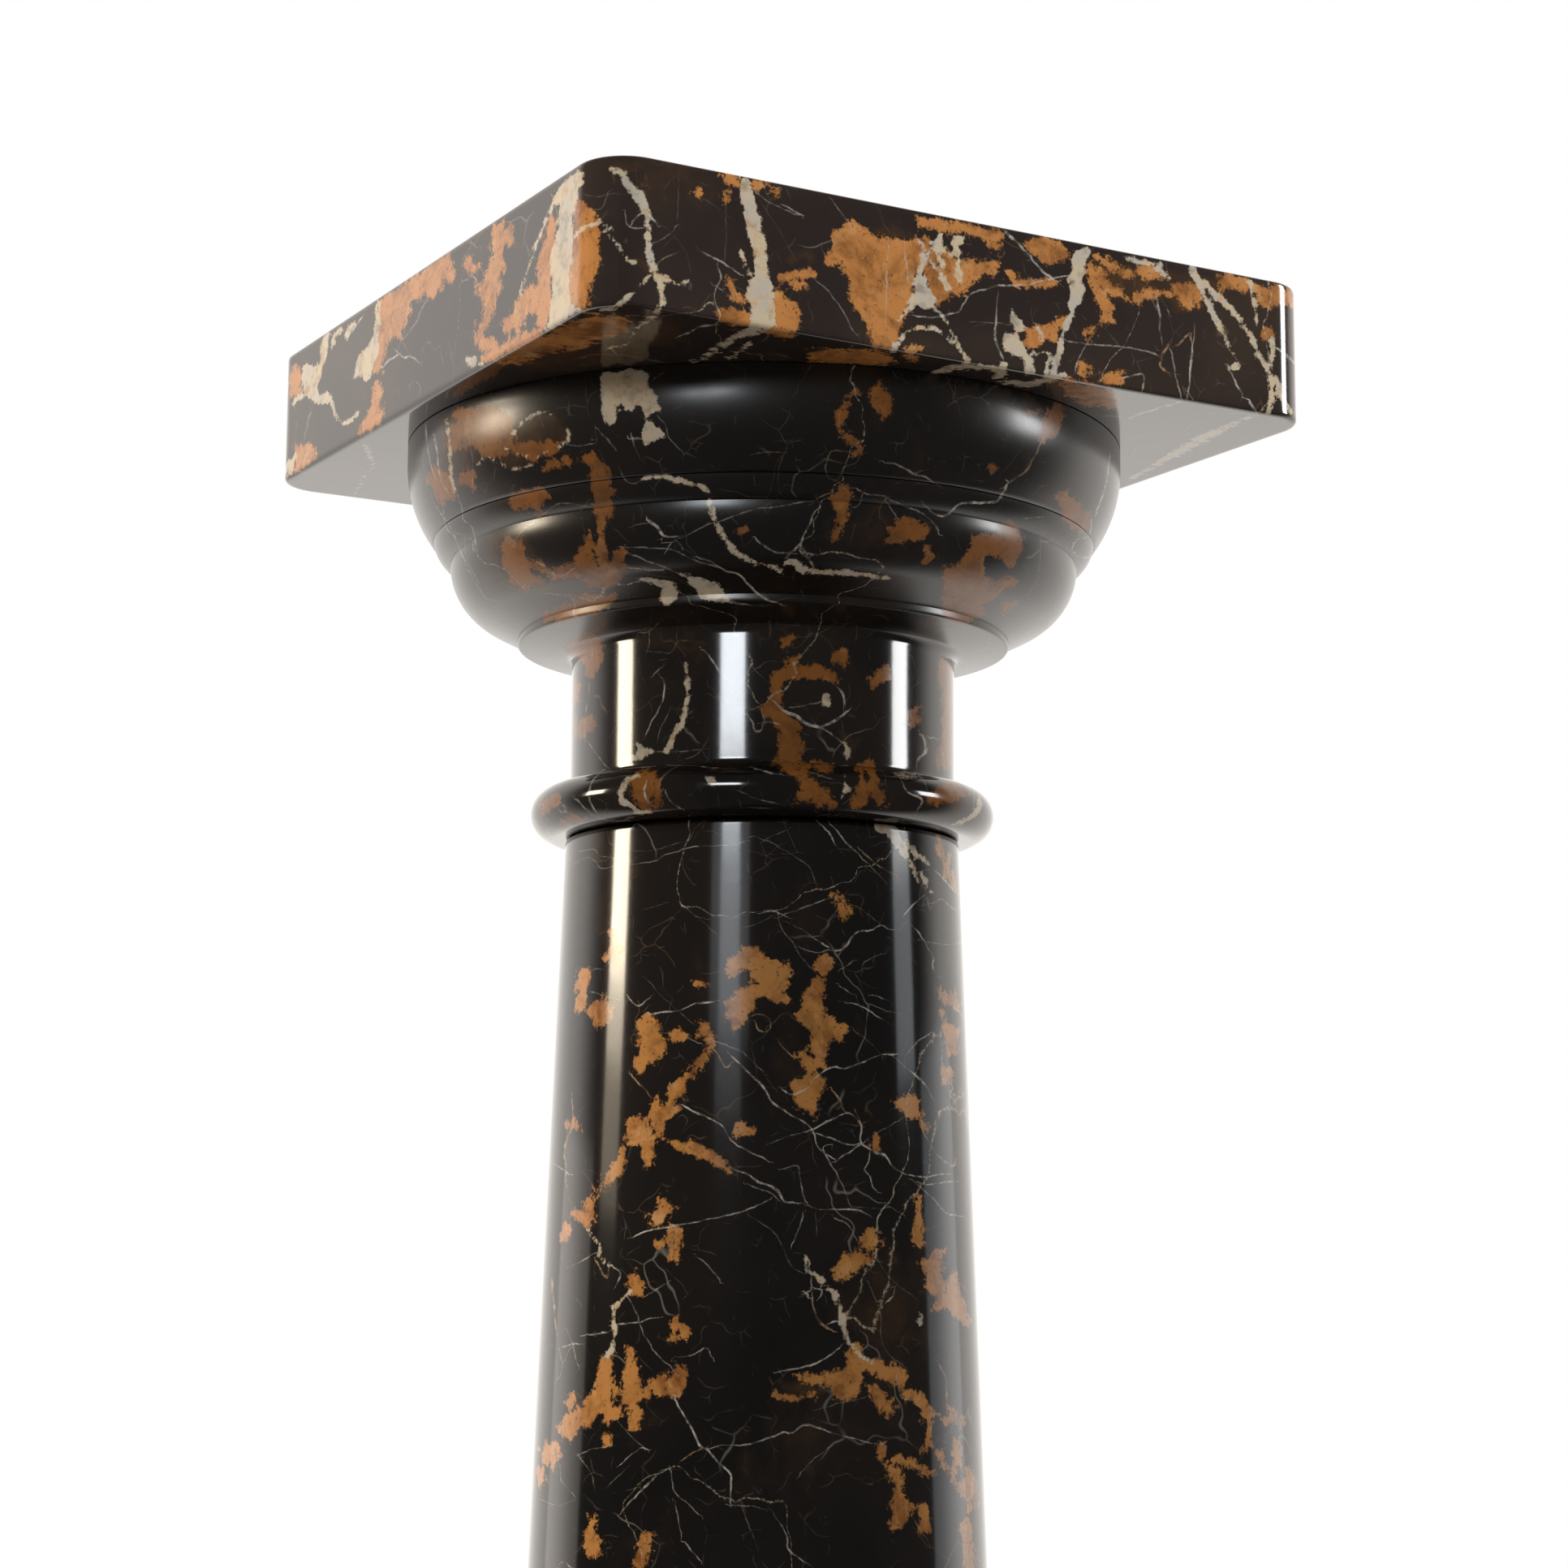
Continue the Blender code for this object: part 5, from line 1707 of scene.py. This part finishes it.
SHAFT_UPPER = (
    *patches(GOLD, (1000,1212, 1010,1210, 1012,1225, 1015,1250, 1030,1260, 1037,1270, 1035,1280, 1020,1277, 1017,1290,
        1015,1305, 1016,1315, 1005,1310, 1002,1297, 995,1290, 1000,1280, 995,1265, 985,1252, 990,1235, 995,1220),
        (912,1172, 930,1170, 942,1182, 960,1187, 972,1197, 972,1212, 967,1222, 972,1230, 960,1230, 940,1227, 927,1232,
        920,1247, 915,1262, 905,1270, 897,1250, 895,1237, 905,1230, 915,1220, 935,1217, 950,1207, 935,1207, 922,1195,
        900,1200, 897,1190, 900,1182)),
    Vein((925,1252, 932,1250, 942,1252, 950,1260, 947,1270, 935,1270, 930,1258), (3,), TAN),
    *patches(GOLD, (790,1262, 805,1257, 810,1272, 822,1282, 820,1292, 805,1307, 790,1320, 780,1307, 787,1295),
        (825,1272, 837,1272, 847,1275, 840,1277, 827,1276), (852,1209, 862,1209, 871,1212, 860,1214)),
    Band(GOLD, (866,1264, 877,1280, 870,1298, 855,1315, 840,1335, 828,1352, 826,1370), (12, 8, 5, 9, 12, 9, 8)),
    *patches(GOLD, (711,1215, 720,1195, 725,1200, 720,1220, 722,1237, 712,1240), (732,1237, 745,1232, 755,1250,
        750,1262, 732,1257, 727,1245)),
    Vein((772,1225, 785,1239, 800,1230), (2, 4, 1.5)),
    Vein((800,1249, 820,1247, 837,1245, 855,1237, 880,1234), (3, 4, 2, 4, 3)),
    Vein((797,1207, 820,1232, 835,1245, 856,1262), (1.3,)),
    Vein((730,1222, 745,1227, 757,1229), (2,)),
    Vein((782,1270, 810,1272, 830,1273), (1.5,), TAN),
    Vein((847,1279, 862,1285), (2,)),
    Vein((880,1282, 900,1290, 915,1297, 940,1320), (2, 2, 1.5)),
    Vein((900,1300, 917,1317, 932,1330, 945,1345, 950,1357, 972,1372, 1000,1390, 1007,1412, 1025,1427), (3, 4, 5, 4, 5,
        3, 3, 3, 3)),
    *tan_veins((3,), (877,1290, 885,1300, 895,1317, 902,1310), (960,1285, 975,1300)),
    *patches(GOLD, (985,1297, 995,1300, 1000,1315, 987,1312), (975,1335, 990,1335, 1005,1325, 1012,1332, 1007,1350,
        1002,1375, 992,1370, 982,1355)),
    Vein((1005,1327, 1025,1315, 1040,1316, 1055,1312, 1075,1304, 1085,1300, 1100,1299), (3, 4, 3, 4, 3, 2, 5)),
    Vein((964,1342, 977,1349, 992,1342), (3, 5, 3)),
    Vein((1120,1296, 1132,1282, 1144,1275), (2, 3, 3)),
    Vein((1100,1300, 1110,1310, 1125,1322, 1140,1337, 1150,1355), (1.5, 2, 5, 5, 1.5)),
    Vein((1027,1345, 1035,1355, 1041,1370, 1050,1374, 1060,1385), (4, 4, 3, 3, 3), TAN),
    Vein((1035,1216, 1050,1225), (2, 3)),
    Vein((1040,1235, 1060,1240, 1095,1260), (2, 3, 1)),
    Vein((1075,1226, 1090,1231), (2,)),
    Vein((1052,1269, 1075,1287, 1085,1300), (1.3,)),
    Patch(GOLD, (1162,1222, 1177,1225, 1177,1240, 1165,1232)),
    Vein((1170,1235, 1185,1250), (3,)),
    *patches(GOLD, (1160,1245, 1167,1267, 1180,1272, 1177,1295, 1167,1297, 1165,1275), (1165,1317, 1172,1315,
        1170,1330, 1162,1332), (1100,1355, 1115,1351, 1130,1357, 1135,1370, 1130,1380, 1140,1388, 1120,1375,
        1105,1362), (776,1380, 792,1377, 797,1390, 804,1402, 812,1408, 803,1410, 800,1430, 797,1440, 793,1425,
        792,1410, 775,1408, 778,1395), (803,1352, 815,1360, 822,1372, 818,1385, 820,1405, 812,1408, 808,1390,
        798,1362)),
    Vein((779,1325, 790,1338, 803,1352), (3,), TAN),
)

SHAFT_MIDDLE = (
    Patch(GOLD, (905,1391, 915,1386, 927,1389, 929,1394, 922,1399, 910,1397)),
    Vein((950,1409, 972,1400, 1000,1392, 1012,1386, 1025,1379, 1040,1372), (1.5, 2, 3, 4, 3)),
    Vein((1055,1372, 1062,1390, 1060,1405, 1065,1412, 1080,1420, 1090,1424, 1100,1437, 1117,1447, 1142,1450, 1157,1447,
        1170,1447), (2, 3, 4, 4, 5, 4, 2, 3, 4, 4, 2)),
    Vein((1007,1397, 1027,1404, 1045,1411, 1060,1409), (2.5,)),
    Vein((1060,1410, 1042,1422, 1030,1430), (3,)),
    Vein((1015,1417, 1022,1432, 1037,1457, 1047,1485), (3, 2, 1.5)),
    Patch(GOLD, (1075,1402, 1080,1400, 1085,1412, 1080,1420, 1075,1417)),
    Vein((1072,1400, 1090,1391, 1117,1375), (1.5,)),
    Vein((1072,1415, 1070,1432, 1064,1442, 1072,1450, 1075,1462, 1080,1467), (2, 3, 2, 3, 2)),
    Vein((1125,1455, 1145,1459, 1175,1455), (2, 3, 3)),
    Vein((1130,1459, 1150,1477, 1167,1495, 1180,1497), (2, 4)),
    Vein((780,1524, 800,1516, 840,1509, 865,1504, 900,1497, 925,1489, 950,1477), (3, 4, 3, 2.5, 3, 3, 2)),
    Vein((902,1440, 920,1446, 935,1457, 950,1462, 960,1470, 967,1481, 980,1482), (3, 3, 4, 4, 8, 5, 4)),
    Vein((922,1460, 950,1470, 960,1480), (2,)),
    Vein((965,1440, 982,1436, 985,1450, 990,1475, 995,1484), (2, 2, 1.5, 4, 2)),
    Vein((992,1485, 1012,1490, 1030,1490, 1055,1490, 1070,1497), (1.5, 2, 3, 4, 2)),
    Vein((990,1497, 985,1512, 977,1532), (3, 2, 3)),
    Vein((1005,1500, 1007,1515), (2,)),
    Vein((1055,1487, 1085,1490, 1095,1486, 1112,1497), (1.5,)),
    Vein((1087,1490, 1080,1505, 1080,1522), (4, 2)),
    Vein((1027,1500, 1045,1510, 1060,1537), (2,)),
    Vein((925,1500, 955,1520, 975,1560, 985,1567), (1.5,)),
    *patches(GOLD, (1070,1520, 1080,1525, 1080,1540, 1062,1542, 1065,1530), (1030,1570, 1040,1550, 1055,1542,
        1072,1552, 1060,1562, 1040,1572)),
    Patch(BROWN, (1097,1540, 1105,1552, 1100,1560, 1095,1552)),
    Band(CREAM, (992,1550, 997,1565, 1007,1572, 1017,1585, 1027,1592, 1032,1605, 1037,1620, 1040,1635, 1047,1655,
        1060,1670, 1075,1677), (4, 5, 6, 8, 7, 6, 8, 8, 5, 4, 5)),
    *veins((3,), (1000,1577, 1000,1590, 992,1592, 995,1597), (1005,1587, 1014,1590, 1010,1597)),
    Vein((1001,1597, 1002,1610, 1007,1625, 1017,1635, 1025,1639), (3, 3, 6, 6, 4), TAN),
    Vein((1025,1630, 1032,1627), (4,)),
    Vein((1094,1603, 1100,1597), (6,)),
    *veins((1.3,), (1070,1580, 1085,1620, 1085,1640, 1092,1665, 1112,1682), (1077,1547, 1100,1577, 1125,1597)),
    *patches(GOLD, (1137,1557, 1150,1542, 1165,1540, 1157,1555, 1162,1572, 1162,1592, 1152,1590, 1142,1570),
        (1130,1470, 1132,1490, 1136,1520, 1133,1530, 1129,1527, 1128,1500)),
    Vein((1135,1380, 1140,1400, 1157,1425, 1175,1437, 1177,1427), (3, 2, 3, 5), TAN),
    Patch(GOLD, (1165,1577, 1175,1570, 1180,1585, 1192,1610, 1190,1630, 1177,1615, 1152,1610, 1165,1592)),
    Patch(CREAM, (1130,1627, 1134,1617, 1138,1627, 1133,1634)),
    Band(GOLD, (820,1407, 840,1412, 857,1417, 877,1427, 890,1433, 902,1440), (4, 6, 9, 7, 4, 4)),
    Vein((840,1362, 857,1370, 872,1377, 890,1387, 902,1407, 920,1417, 947,1430), (4, 4, 3, 3, 3, 4, 2)),
    Band(GOLD, (775,1407, 767,1422, 760,1440, 747,1455, 732,1470, 727,1480), (4, 3, 7, 3, 3, 7)),
    *patches(GOLD, (722,1480, 727,1477, 730,1495, 727,1512, 722,1510, 710,1500, 712,1495, 720,1495), (695,1515,
        702,1510, 700,1522, 696,1526)),
    Band(CREAM, (725,1515, 737,1532, 740,1547, 750,1560), (3, 3, 5, 4)),
    Vein((755,1560, 765,1570, 760,1582), (3,)),
    Vein((735,1555, 747,1575, 750,1565), (4,), TAN),
    Patch(GOLD, (775,1572, 782,1562, 785,1580, 792,1585, 782,1590, 776,1580)),
    Band(CREAM, (777,1590, 762,1605, 756,1615, 757,1635, 755,1660, 747,1672), (4, 4, 5, 4, 4, 6)),
    Vein((775,1600, 785,1620, 795,1647, 812,1672, 825,1682, 832,1692), (2,)),
    Vein((757,1632, 787,1629, 800,1625, 815,1624), (4, 3, 1.5)),
    Vein((722,1645, 750,1641), (3,)),
    Band(GOLD, (812,1475, 822,1495, 826,1515, 822,1530, 808,1535), (2, 3, 4, 3, 4)),
    Patch(GOLD, (805,1495, 820,1493, 822,1505, 803,1512)),
    Band(GOLD, (835,1490, 836,1525, 826,1550), (2, 3, 3)),
    Vein((860,1549, 870,1557, 887,1576), (2,)),
    Vein((800,1595, 820,1581), (2.5,)),
    Vein((704,1347, 706,1385, 700,1400, 695,1415, 697,1435, 698,1465, 705,1485), (2, 3, 3, 4, 2, 1.5), TAN),
    Vein((680,1432, 700,1445), (2, 3)),
    Vein((705,1560, 737,1542), (2.5,)),
    Patch(GOLD, (701,1386, 706,1382, 712,1390)),
)

SHAFT_LOWER = (
    Patch(GOLD, (1045,1665, 1055,1662, 1065,1677, 1080,1677, 1090,1685, 1100,1687, 1112,1695, 1110,1707, 1090,1700,
        1080,1690, 1070,1690, 1060,1700, 1055,1715, 1040,1727, 1027,1722, 1030,1705, 1000,1702, 980,1693, 1010,1695,
        1015,1687, 1030,1697, 1040,1692)),
    Vein((960,1690, 975,1687, 1000,1682, 1020,1672, 1035,1660), (3, 4, 3)),
    Band(GOLD, (954,1717, 965,1722, 1000,1722), (8, 3, 2)),
    Patch(BROWN, (960,1705, 1000,1700, 1020,1718, 970,1720)),
    Patch(GOLD, (1072,1710, 1087,1712, 1100,1732, 1095,1740, 1085,1730, 1075,1720)),
    Band(GOLD, (1120,1717, 1132,1727, 1141,1740, 1145,1760, 1140,1785), (5, 9, 4, 6, 4)),
    *patches(GOLD, (1140,1740, 1165,1755, 1172,1750, 1160,1745), (1170,1735, 1177,1757, 1182,1760, 1187,1747)),
    Vein((1105,1695, 1110,1720, 1120,1725), (2,)),
    Vein((872,1786, 890,1780, 910,1781, 930,1777, 950,1771, 965,1764, 975,1766, 987,1756, 1000,1757, 1032,1767,
        1060,1775, 1087,1780), (2, 2, 3, 3, 4, 3, 5, 4, 2, 2.5, 2, 3)),
    Band(GOLD, (1085,1782, 1090,1802, 1105,1822, 1107,1840, 1112,1860, 1105,1880), (6, 4, 12, 7, 20, 6)),
    Vein((1115,1857, 1135,1885, 1145,1902), (2,), TAN),
    Band(GOLD, (1100,1800, 1115,1800, 1150,1815), (5, 3, 1.5)),
    Vein((1032,1777, 1020,1785, 1000,1800, 985,1817), (1.8,)),
    Vein((1007,1737, 1025,1732, 1065,1722), (1.5,)),
    Vein((900,1855, 920,1855, 932,1857, 940,1860), (2.5,)),
    Vein((915,1857, 920,1872, 932,1905), (1.5,)),
    Vein((950,1860, 970,1892, 972,1910, 1000,1930), (1, 2, 4, 2)),
    Vein((1157,1680, 1165,1700, 1167,1730), (4,), TAN),
    Band(GOLD, (1177,1777, 1182,1800, 1195,1820, 1197,1855), (4, 3, 8, 8)),
    Band(GOLD, (1160,1792, 1175,1822, 1185,1840), (5,)),
    Band(GOLD, (1140,1862, 1142,1882), (8,)),
    Band(GOLD, (1192,1880, 1195,1930), (6,)),
    *patches(GOLD, (730,1697, 740,1680, 750,1674, 753,1690, 755,1715, 752,1735, 765,1745, 752,1747, 748,1780, 744,1750,
        742,1730, 735,1715), (690,1760, 702,1740, 720,1732, 737,1710, 745,1735, 735,1745, 717,1755, 710,1765,
        700,1770), (700,1722, 710,1720, 702,1740, 697,1745), (662,1810, 667,1810, 667,1822, 662,1830), (665,1785,
        677,1780, 685,1777, 687,1795, 682,1805, 670,1800), (772,1660, 782,1680, 785,1700, 777,1710, 800,1710, 795,1722,
        780,1732, 772,1725, 772,1700), (802,1705, 820,1702, 825,1695, 837,1682, 845,1707, 840,1720, 832,1722, 825,1717,
        810,1715), (772,1740, 785,1735, 782,1757, 775,1760)),
    Band(GOLD, (833,1632, 843,1640, 830,1650), (5,)),
    Vein((832,1725, 840,1740, 852,1760, 862,1782, 870,1785, 885,1802, 900,1814, 901,1825, 900,1850), (4, 5, 4)),
    Vein((865,1785, 850,1792, 840,1800), (4, 2), TAN),
    Vein((837,1672, 855,1669, 870,1660, 877,1672), (2, 3)),
    Vein((832,1810, 815,1812, 802,1825, 787,1840, 775,1852, 765,1863), (1.5, 2, 5, 2.5, 2)),
    *veins((2,), (827,1812, 831,1837, 847,1852, 862,1867), (832,1852, 839,1890)),
    Vein((845,1902, 861,1922), (3,)),
    *patches(GOLD, (725,1867, 731,1867, 730,1892, 740,1897, 742,1915, 726,1915), (787,1907, 795,1892, 807,1887,
        800,1905, 790,1930, 782,1930)),
    *veins((2,), (712,1794, 725,1787, 750,1782), (712,1794, 727,1812, 732,1830)),
    Vein((690,1805, 692,1825, 707,1842, 710,1847, 700,1852, 687,1855, 665,1847), (1.6,)),
    Vein((765,1804, 787,1785, 795,1785), (2.5,)),
    *veins((1.5,), (762,1752, 780,1772, 795,1785), (750,1830, 772,1810)),
    Vein((680,1577, 682,1602, 685,1635, 692,1680), (4, 3, 2), TAN),
    Vein((692,1660, 706,1656, 715,1655), (2, 4, 2)),
    Vein((700,1642, 706,1657, 712,1682), (2,)),
)

SHAFT_FEATURES = SHAFT_TOP + SHAFT_UPPER + SHAFT_MIDDLE + SHAFT_LOWER


@dataclass(frozen=True)
class StripLight:
    """A tall soft light, placed by where the pedestal sees it.

    Args:
        name: the light's name.
        bearing: its direction in degrees from the camera's, positive to the picture's right.
        low: the height of its lower edge above the neck, in degrees.
        high: the height of its upper edge, in degrees.
        wide: its width in degrees.
        brightness: its radiance.
        colour: its colour.
        stones: the nodes of the stones that it lights.
        distance: how far it stands, in metres.
        mirrored: whether the polish mirrors it.
    """

    name: str
    bearing: float
    low: float
    high: float
    wide: float
    brightness: float
    colour: Colour
    stones: tuple[str, ...]
    distance: float = 2.2
    mirrored: bool = True

    def hang(self, heading: float, target: Vector, made: dict[str, bpy.types.Object]) -> None:
        """Makes the light.

        Args:
            heading: the camera's heading in degrees.
            target: the point that it faces, in metres.
            made: the stones' objects by node.
        """
        turn = math.radians(heading + 180.0 - self.bearing)
        outward = Vector((math.sin(turn), math.cos(turn), 0.0))
        low, high = (self.distance * math.tan(math.radians(a)) for a in (self.low, self.high))
        data = bpy.data.lights.new(self.name, "AREA")
        data.shape = "RECTANGLE"
        data.size = 2 * self.distance * math.tan(math.radians(self.wide / 2))
        data.size_y = high - low
        data.energy = self.brightness * math.pi * data.size * data.size_y
        data.color = self.colour
        light = bpy.data.objects.new(self.name, data)
        light.location = target + outward * self.distance + Vector((0.0, 0.0, (low + high) / 2))
        light.rotation_euler = outward.to_track_quat("Z", "Y").to_euler()
        light.visible_camera = False
        light.visible_glossy = self.mirrored
        bpy.context.scene.collection.objects.link(light)
        lit = bpy.data.collections.new(f"lit_by_{self.name}")
        for node in self.stones:
            lit.objects.link(made[node])
        light.light_linking.receiver_collection = lit


WARM, COOL, PEACH, WHITE_LIGHT = (1.0, 0.86, 0.66), (0.90, 0.95, 1.0), (1.0, 0.90, 0.80), (1.0, 1.0, 1.0)
TURNED_STONES, SHAFT_ONLY, SLAB_ONLY = ("plinth", "base", "capital"), ("shaft",), ("top_slab",)


@dataclass
class Studio:
    """The plain studio: a white backdrop, a pale floor and tall strip lights.

    Args:
        camera: the photograph's camera.
        backdrop: how bright the backdrop is in the stones' reflections.
        backdrop_colour: its colour there.
        camera_side: how bright the room is on the camera's side.
        floor_colour: the floor.
        floor_radius: its size, in metres.
        floor_sides: how many corners it has.
        floor_roughness: how dull it is.
        turn_dark: how squarely a direction looks away from the camera where the room stops being dim.
        turn_bright: the same where it is fully bright.
        neck_height: the height that the lights face, in metres.
        lights: the strip lights. The shaft has its own, because the photograph shows it softer ones.
    """

    camera: PhotoCamera
    backdrop: float = 1.5
    backdrop_colour: Colour = (1.0, 0.955, 0.905)
    camera_side: float = 0.10
    floor_colour: Colour = (0.80, 0.79, 0.78)
    floor_radius: float = 2.4
    floor_sides: int = 96
    floor_roughness: float = 0.9
    turn_dark: float = 0.15
    turn_bright: float = 0.55
    neck_height: float = 0.90
    lights: tuple[StripLight, ...] = (
        StripLight("left_strip", -88.0, 5.0, 16.0, 12.0, 26.0, WARM, TURNED_STONES),
        StripLight("left_strip_on_shaft", -86.5, 5.2, 34.0, 12.0, 26.0, WARM, SHAFT_ONLY),
        StripLight("left_fade_on_shaft", -86.5, 3.0, 5.2, 12.0, 9.0, WARM, SHAFT_ONLY),
        StripLight("left_end_on_shaft", -86.5, -1.0, 3.0, 12.0, 2.6, WARM, SHAFT_ONLY),
        StripLight("left_wing_on_shaft", -114.0, -24.0, 0.0, 30.0, 0.9, PEACH, SHAFT_ONLY),
        StripLight("near_strip", -17.0, 8.0, 16.0, 14.0, 24.0, COOL, TURNED_STONES),
        StripLight("near_top_on_shaft", -17.0, 9.8, 34.0, 10.0, 11.0, COOL, SHAFT_ONLY),
        StripLight("near_glow_on_shaft", -17.0, 5.0, 9.8, 11.0, 2.6, COOL, SHAFT_ONLY),
        StripLight("near_edges_on_shaft", -17.0, 4.6, 34.0, 21.0, 1.0, COOL, SHAFT_ONLY, 2.0),
        StripLight("near_end_on_shaft", -17.0, 2.6, 4.8, 14.0, 0.9, COOL, SHAFT_ONLY),
        StripLight("right_strip", 88.0, 5.0, 16.0, 12.0, 18.0, WHITE_LIGHT, TURNED_STONES),
        StripLight("left_fill_on_slab", -88.0, 5.0, 34.0, 12.0, 18.0, WARM, SLAB_ONLY, mirrored=False),
        StripLight("near_fill_on_slab", -17.0, 9.0, 34.0, 14.0, 17.0, COOL, SLAB_ONLY, mirrored=False),
        StripLight("right_strip_on_slab", 88.0, 5.0, 34.0, 13.0, 22.0, WHITE_LIGHT, SLAB_ONLY),
        StripLight("right_top_on_shaft", 86.0, 8.4, 34.0, 12.0, 7.0, WHITE_LIGHT, SHAFT_ONLY),
        StripLight("right_glow_on_shaft", 86.0, 2.4, 8.4, 13.0, 2.0, COOL, SHAFT_ONLY),
        StripLight("right_wing_on_shaft", 112.0, -24.0, 3.0, 30.0, 0.9, COOL, SHAFT_ONLY),
    )

    def set_up(self, made: dict[str, bpy.types.Object]) -> None:
        """Makes the world, the floor and the lights.

        Args:
            made: the stones' objects by node.
        """
        scene = bpy.context.scene
        scene.view_settings.view_transform = "Standard"
        self._world()
        self._floor()
        for light in self.lights:
            light.hang(self.camera.heading, Vector((0.0, 0.0, self.neck_height)), made)

    def _world(self) -> None:
        """Lights the room: white to the camera, bright behind the pedestal and dim on the camera's side."""
        world = bpy.data.worlds.new("studio_room")
        bpy.context.scene.world = world
        world.use_nodes = True
        tree = world.node_tree
        shade = tree.nodes["Background"]
        heading = math.radians(self.camera.heading)
        place = tree.nodes.new("ShaderNodeTexCoord").outputs["Generated"]
        behind = tree.nodes.new("ShaderNodeVectorMath")
        behind.operation = "DOT_PRODUCT"
        behind.inputs[1].default_value = (math.sin(heading), math.cos(heading), 0.0)
        tree.links.new(place, behind.inputs[0])
        level = tree.nodes.new("ShaderNodeMapRange")
        level.interpolation_type = "SMOOTHSTEP"
        level.inputs["From Min"].default_value = self.turn_dark
        level.inputs["From Max"].default_value = self.turn_bright
        level.inputs["To Min"].default_value = self.camera_side
        level.inputs["To Max"].default_value = self.backdrop
        tree.links.new(behind.outputs["Value"], level.inputs["Value"])
        seen = tree.nodes.new("ShaderNodeLightPath").outputs["Is Camera Ray"]
        strength = tree.nodes.new("ShaderNodeMix")
        tree.links.new(seen, strength.inputs[MIX_SHARE])
        tree.links.new(level.outputs["Result"], strength.inputs[MIX_FIRST_NUMBER])
        strength.inputs[MIX_SECOND_NUMBER].default_value = 1.0
        tree.links.new(strength.outputs[MIXED_NUMBER], shade.inputs["Strength"])
        tint = tree.nodes.new("ShaderNodeMix")
        tint.data_type = "RGBA"
        tree.links.new(seen, tint.inputs[MIX_SHARE])
        tint.inputs[MIX_FIRST].default_value = (*self.backdrop_colour, 1.0)
        tint.inputs[MIX_SECOND].default_value = (*WHITE_LIGHT, 1.0)
        tree.links.new(tint.outputs[MIXED_COLOUR], shade.inputs["Color"])

    def _floor(self) -> None:
        """Lays the pale floor, round and flat."""
        turns = [math.tau * number / self.floor_sides for number in range(self.floor_sides)]
        mesh = bpy.data.meshes.new("studio_floor")
        ring = [(self.floor_radius * math.cos(a), self.floor_radius * math.sin(a), 0.0) for a in turns]
        mesh.from_pydata(ring, [], [tuple(range(self.floor_sides))])
        recipe = Recipe("pale_floor")
        recipe.shader.inputs["Base Color"].default_value = (*self.floor_colour, 1.0)
        recipe.shader.inputs["Roughness"].default_value = self.floor_roughness
        mesh.materials.append(recipe.material)
        floor = bpy.data.objects.new("studio_floor", mesh)
        floor.visible_glossy = False
        bpy.context.scene.collection.objects.link(floor)


def main() -> None:
    """Builds the camera, the studio and the stones."""
    logging.basicConfig(level=logging.INFO, format="%(message)s")
    camera = PhotoCamera()
    camera.set_up()
    tracing = Tracing(camera)
    stones = (
        SquareStone("plinth", PLINTH_MARBLE, tracing, around=512, step=0.003,
                    cap_rings=((6, 0.005), (8, 0.006), (6, 0.008))),
        Base("base", BASE_MARBLE, tracing),
        Shaft("shaft", SHAFT_MARBLE, tracing, SHAFT_FEATURES),
        Capital("capital", CAPITAL_MARBLE, tracing, CAPITAL_FEATURES),
        SquareStone("top_slab", SLAB_MARBLE, tracing, SLAB_FEATURES),
    )
    made = {stone.node: stone.make() for stone in stones}
    Studio(camera).set_up(made)


if __name__ == "__main__":
    main()
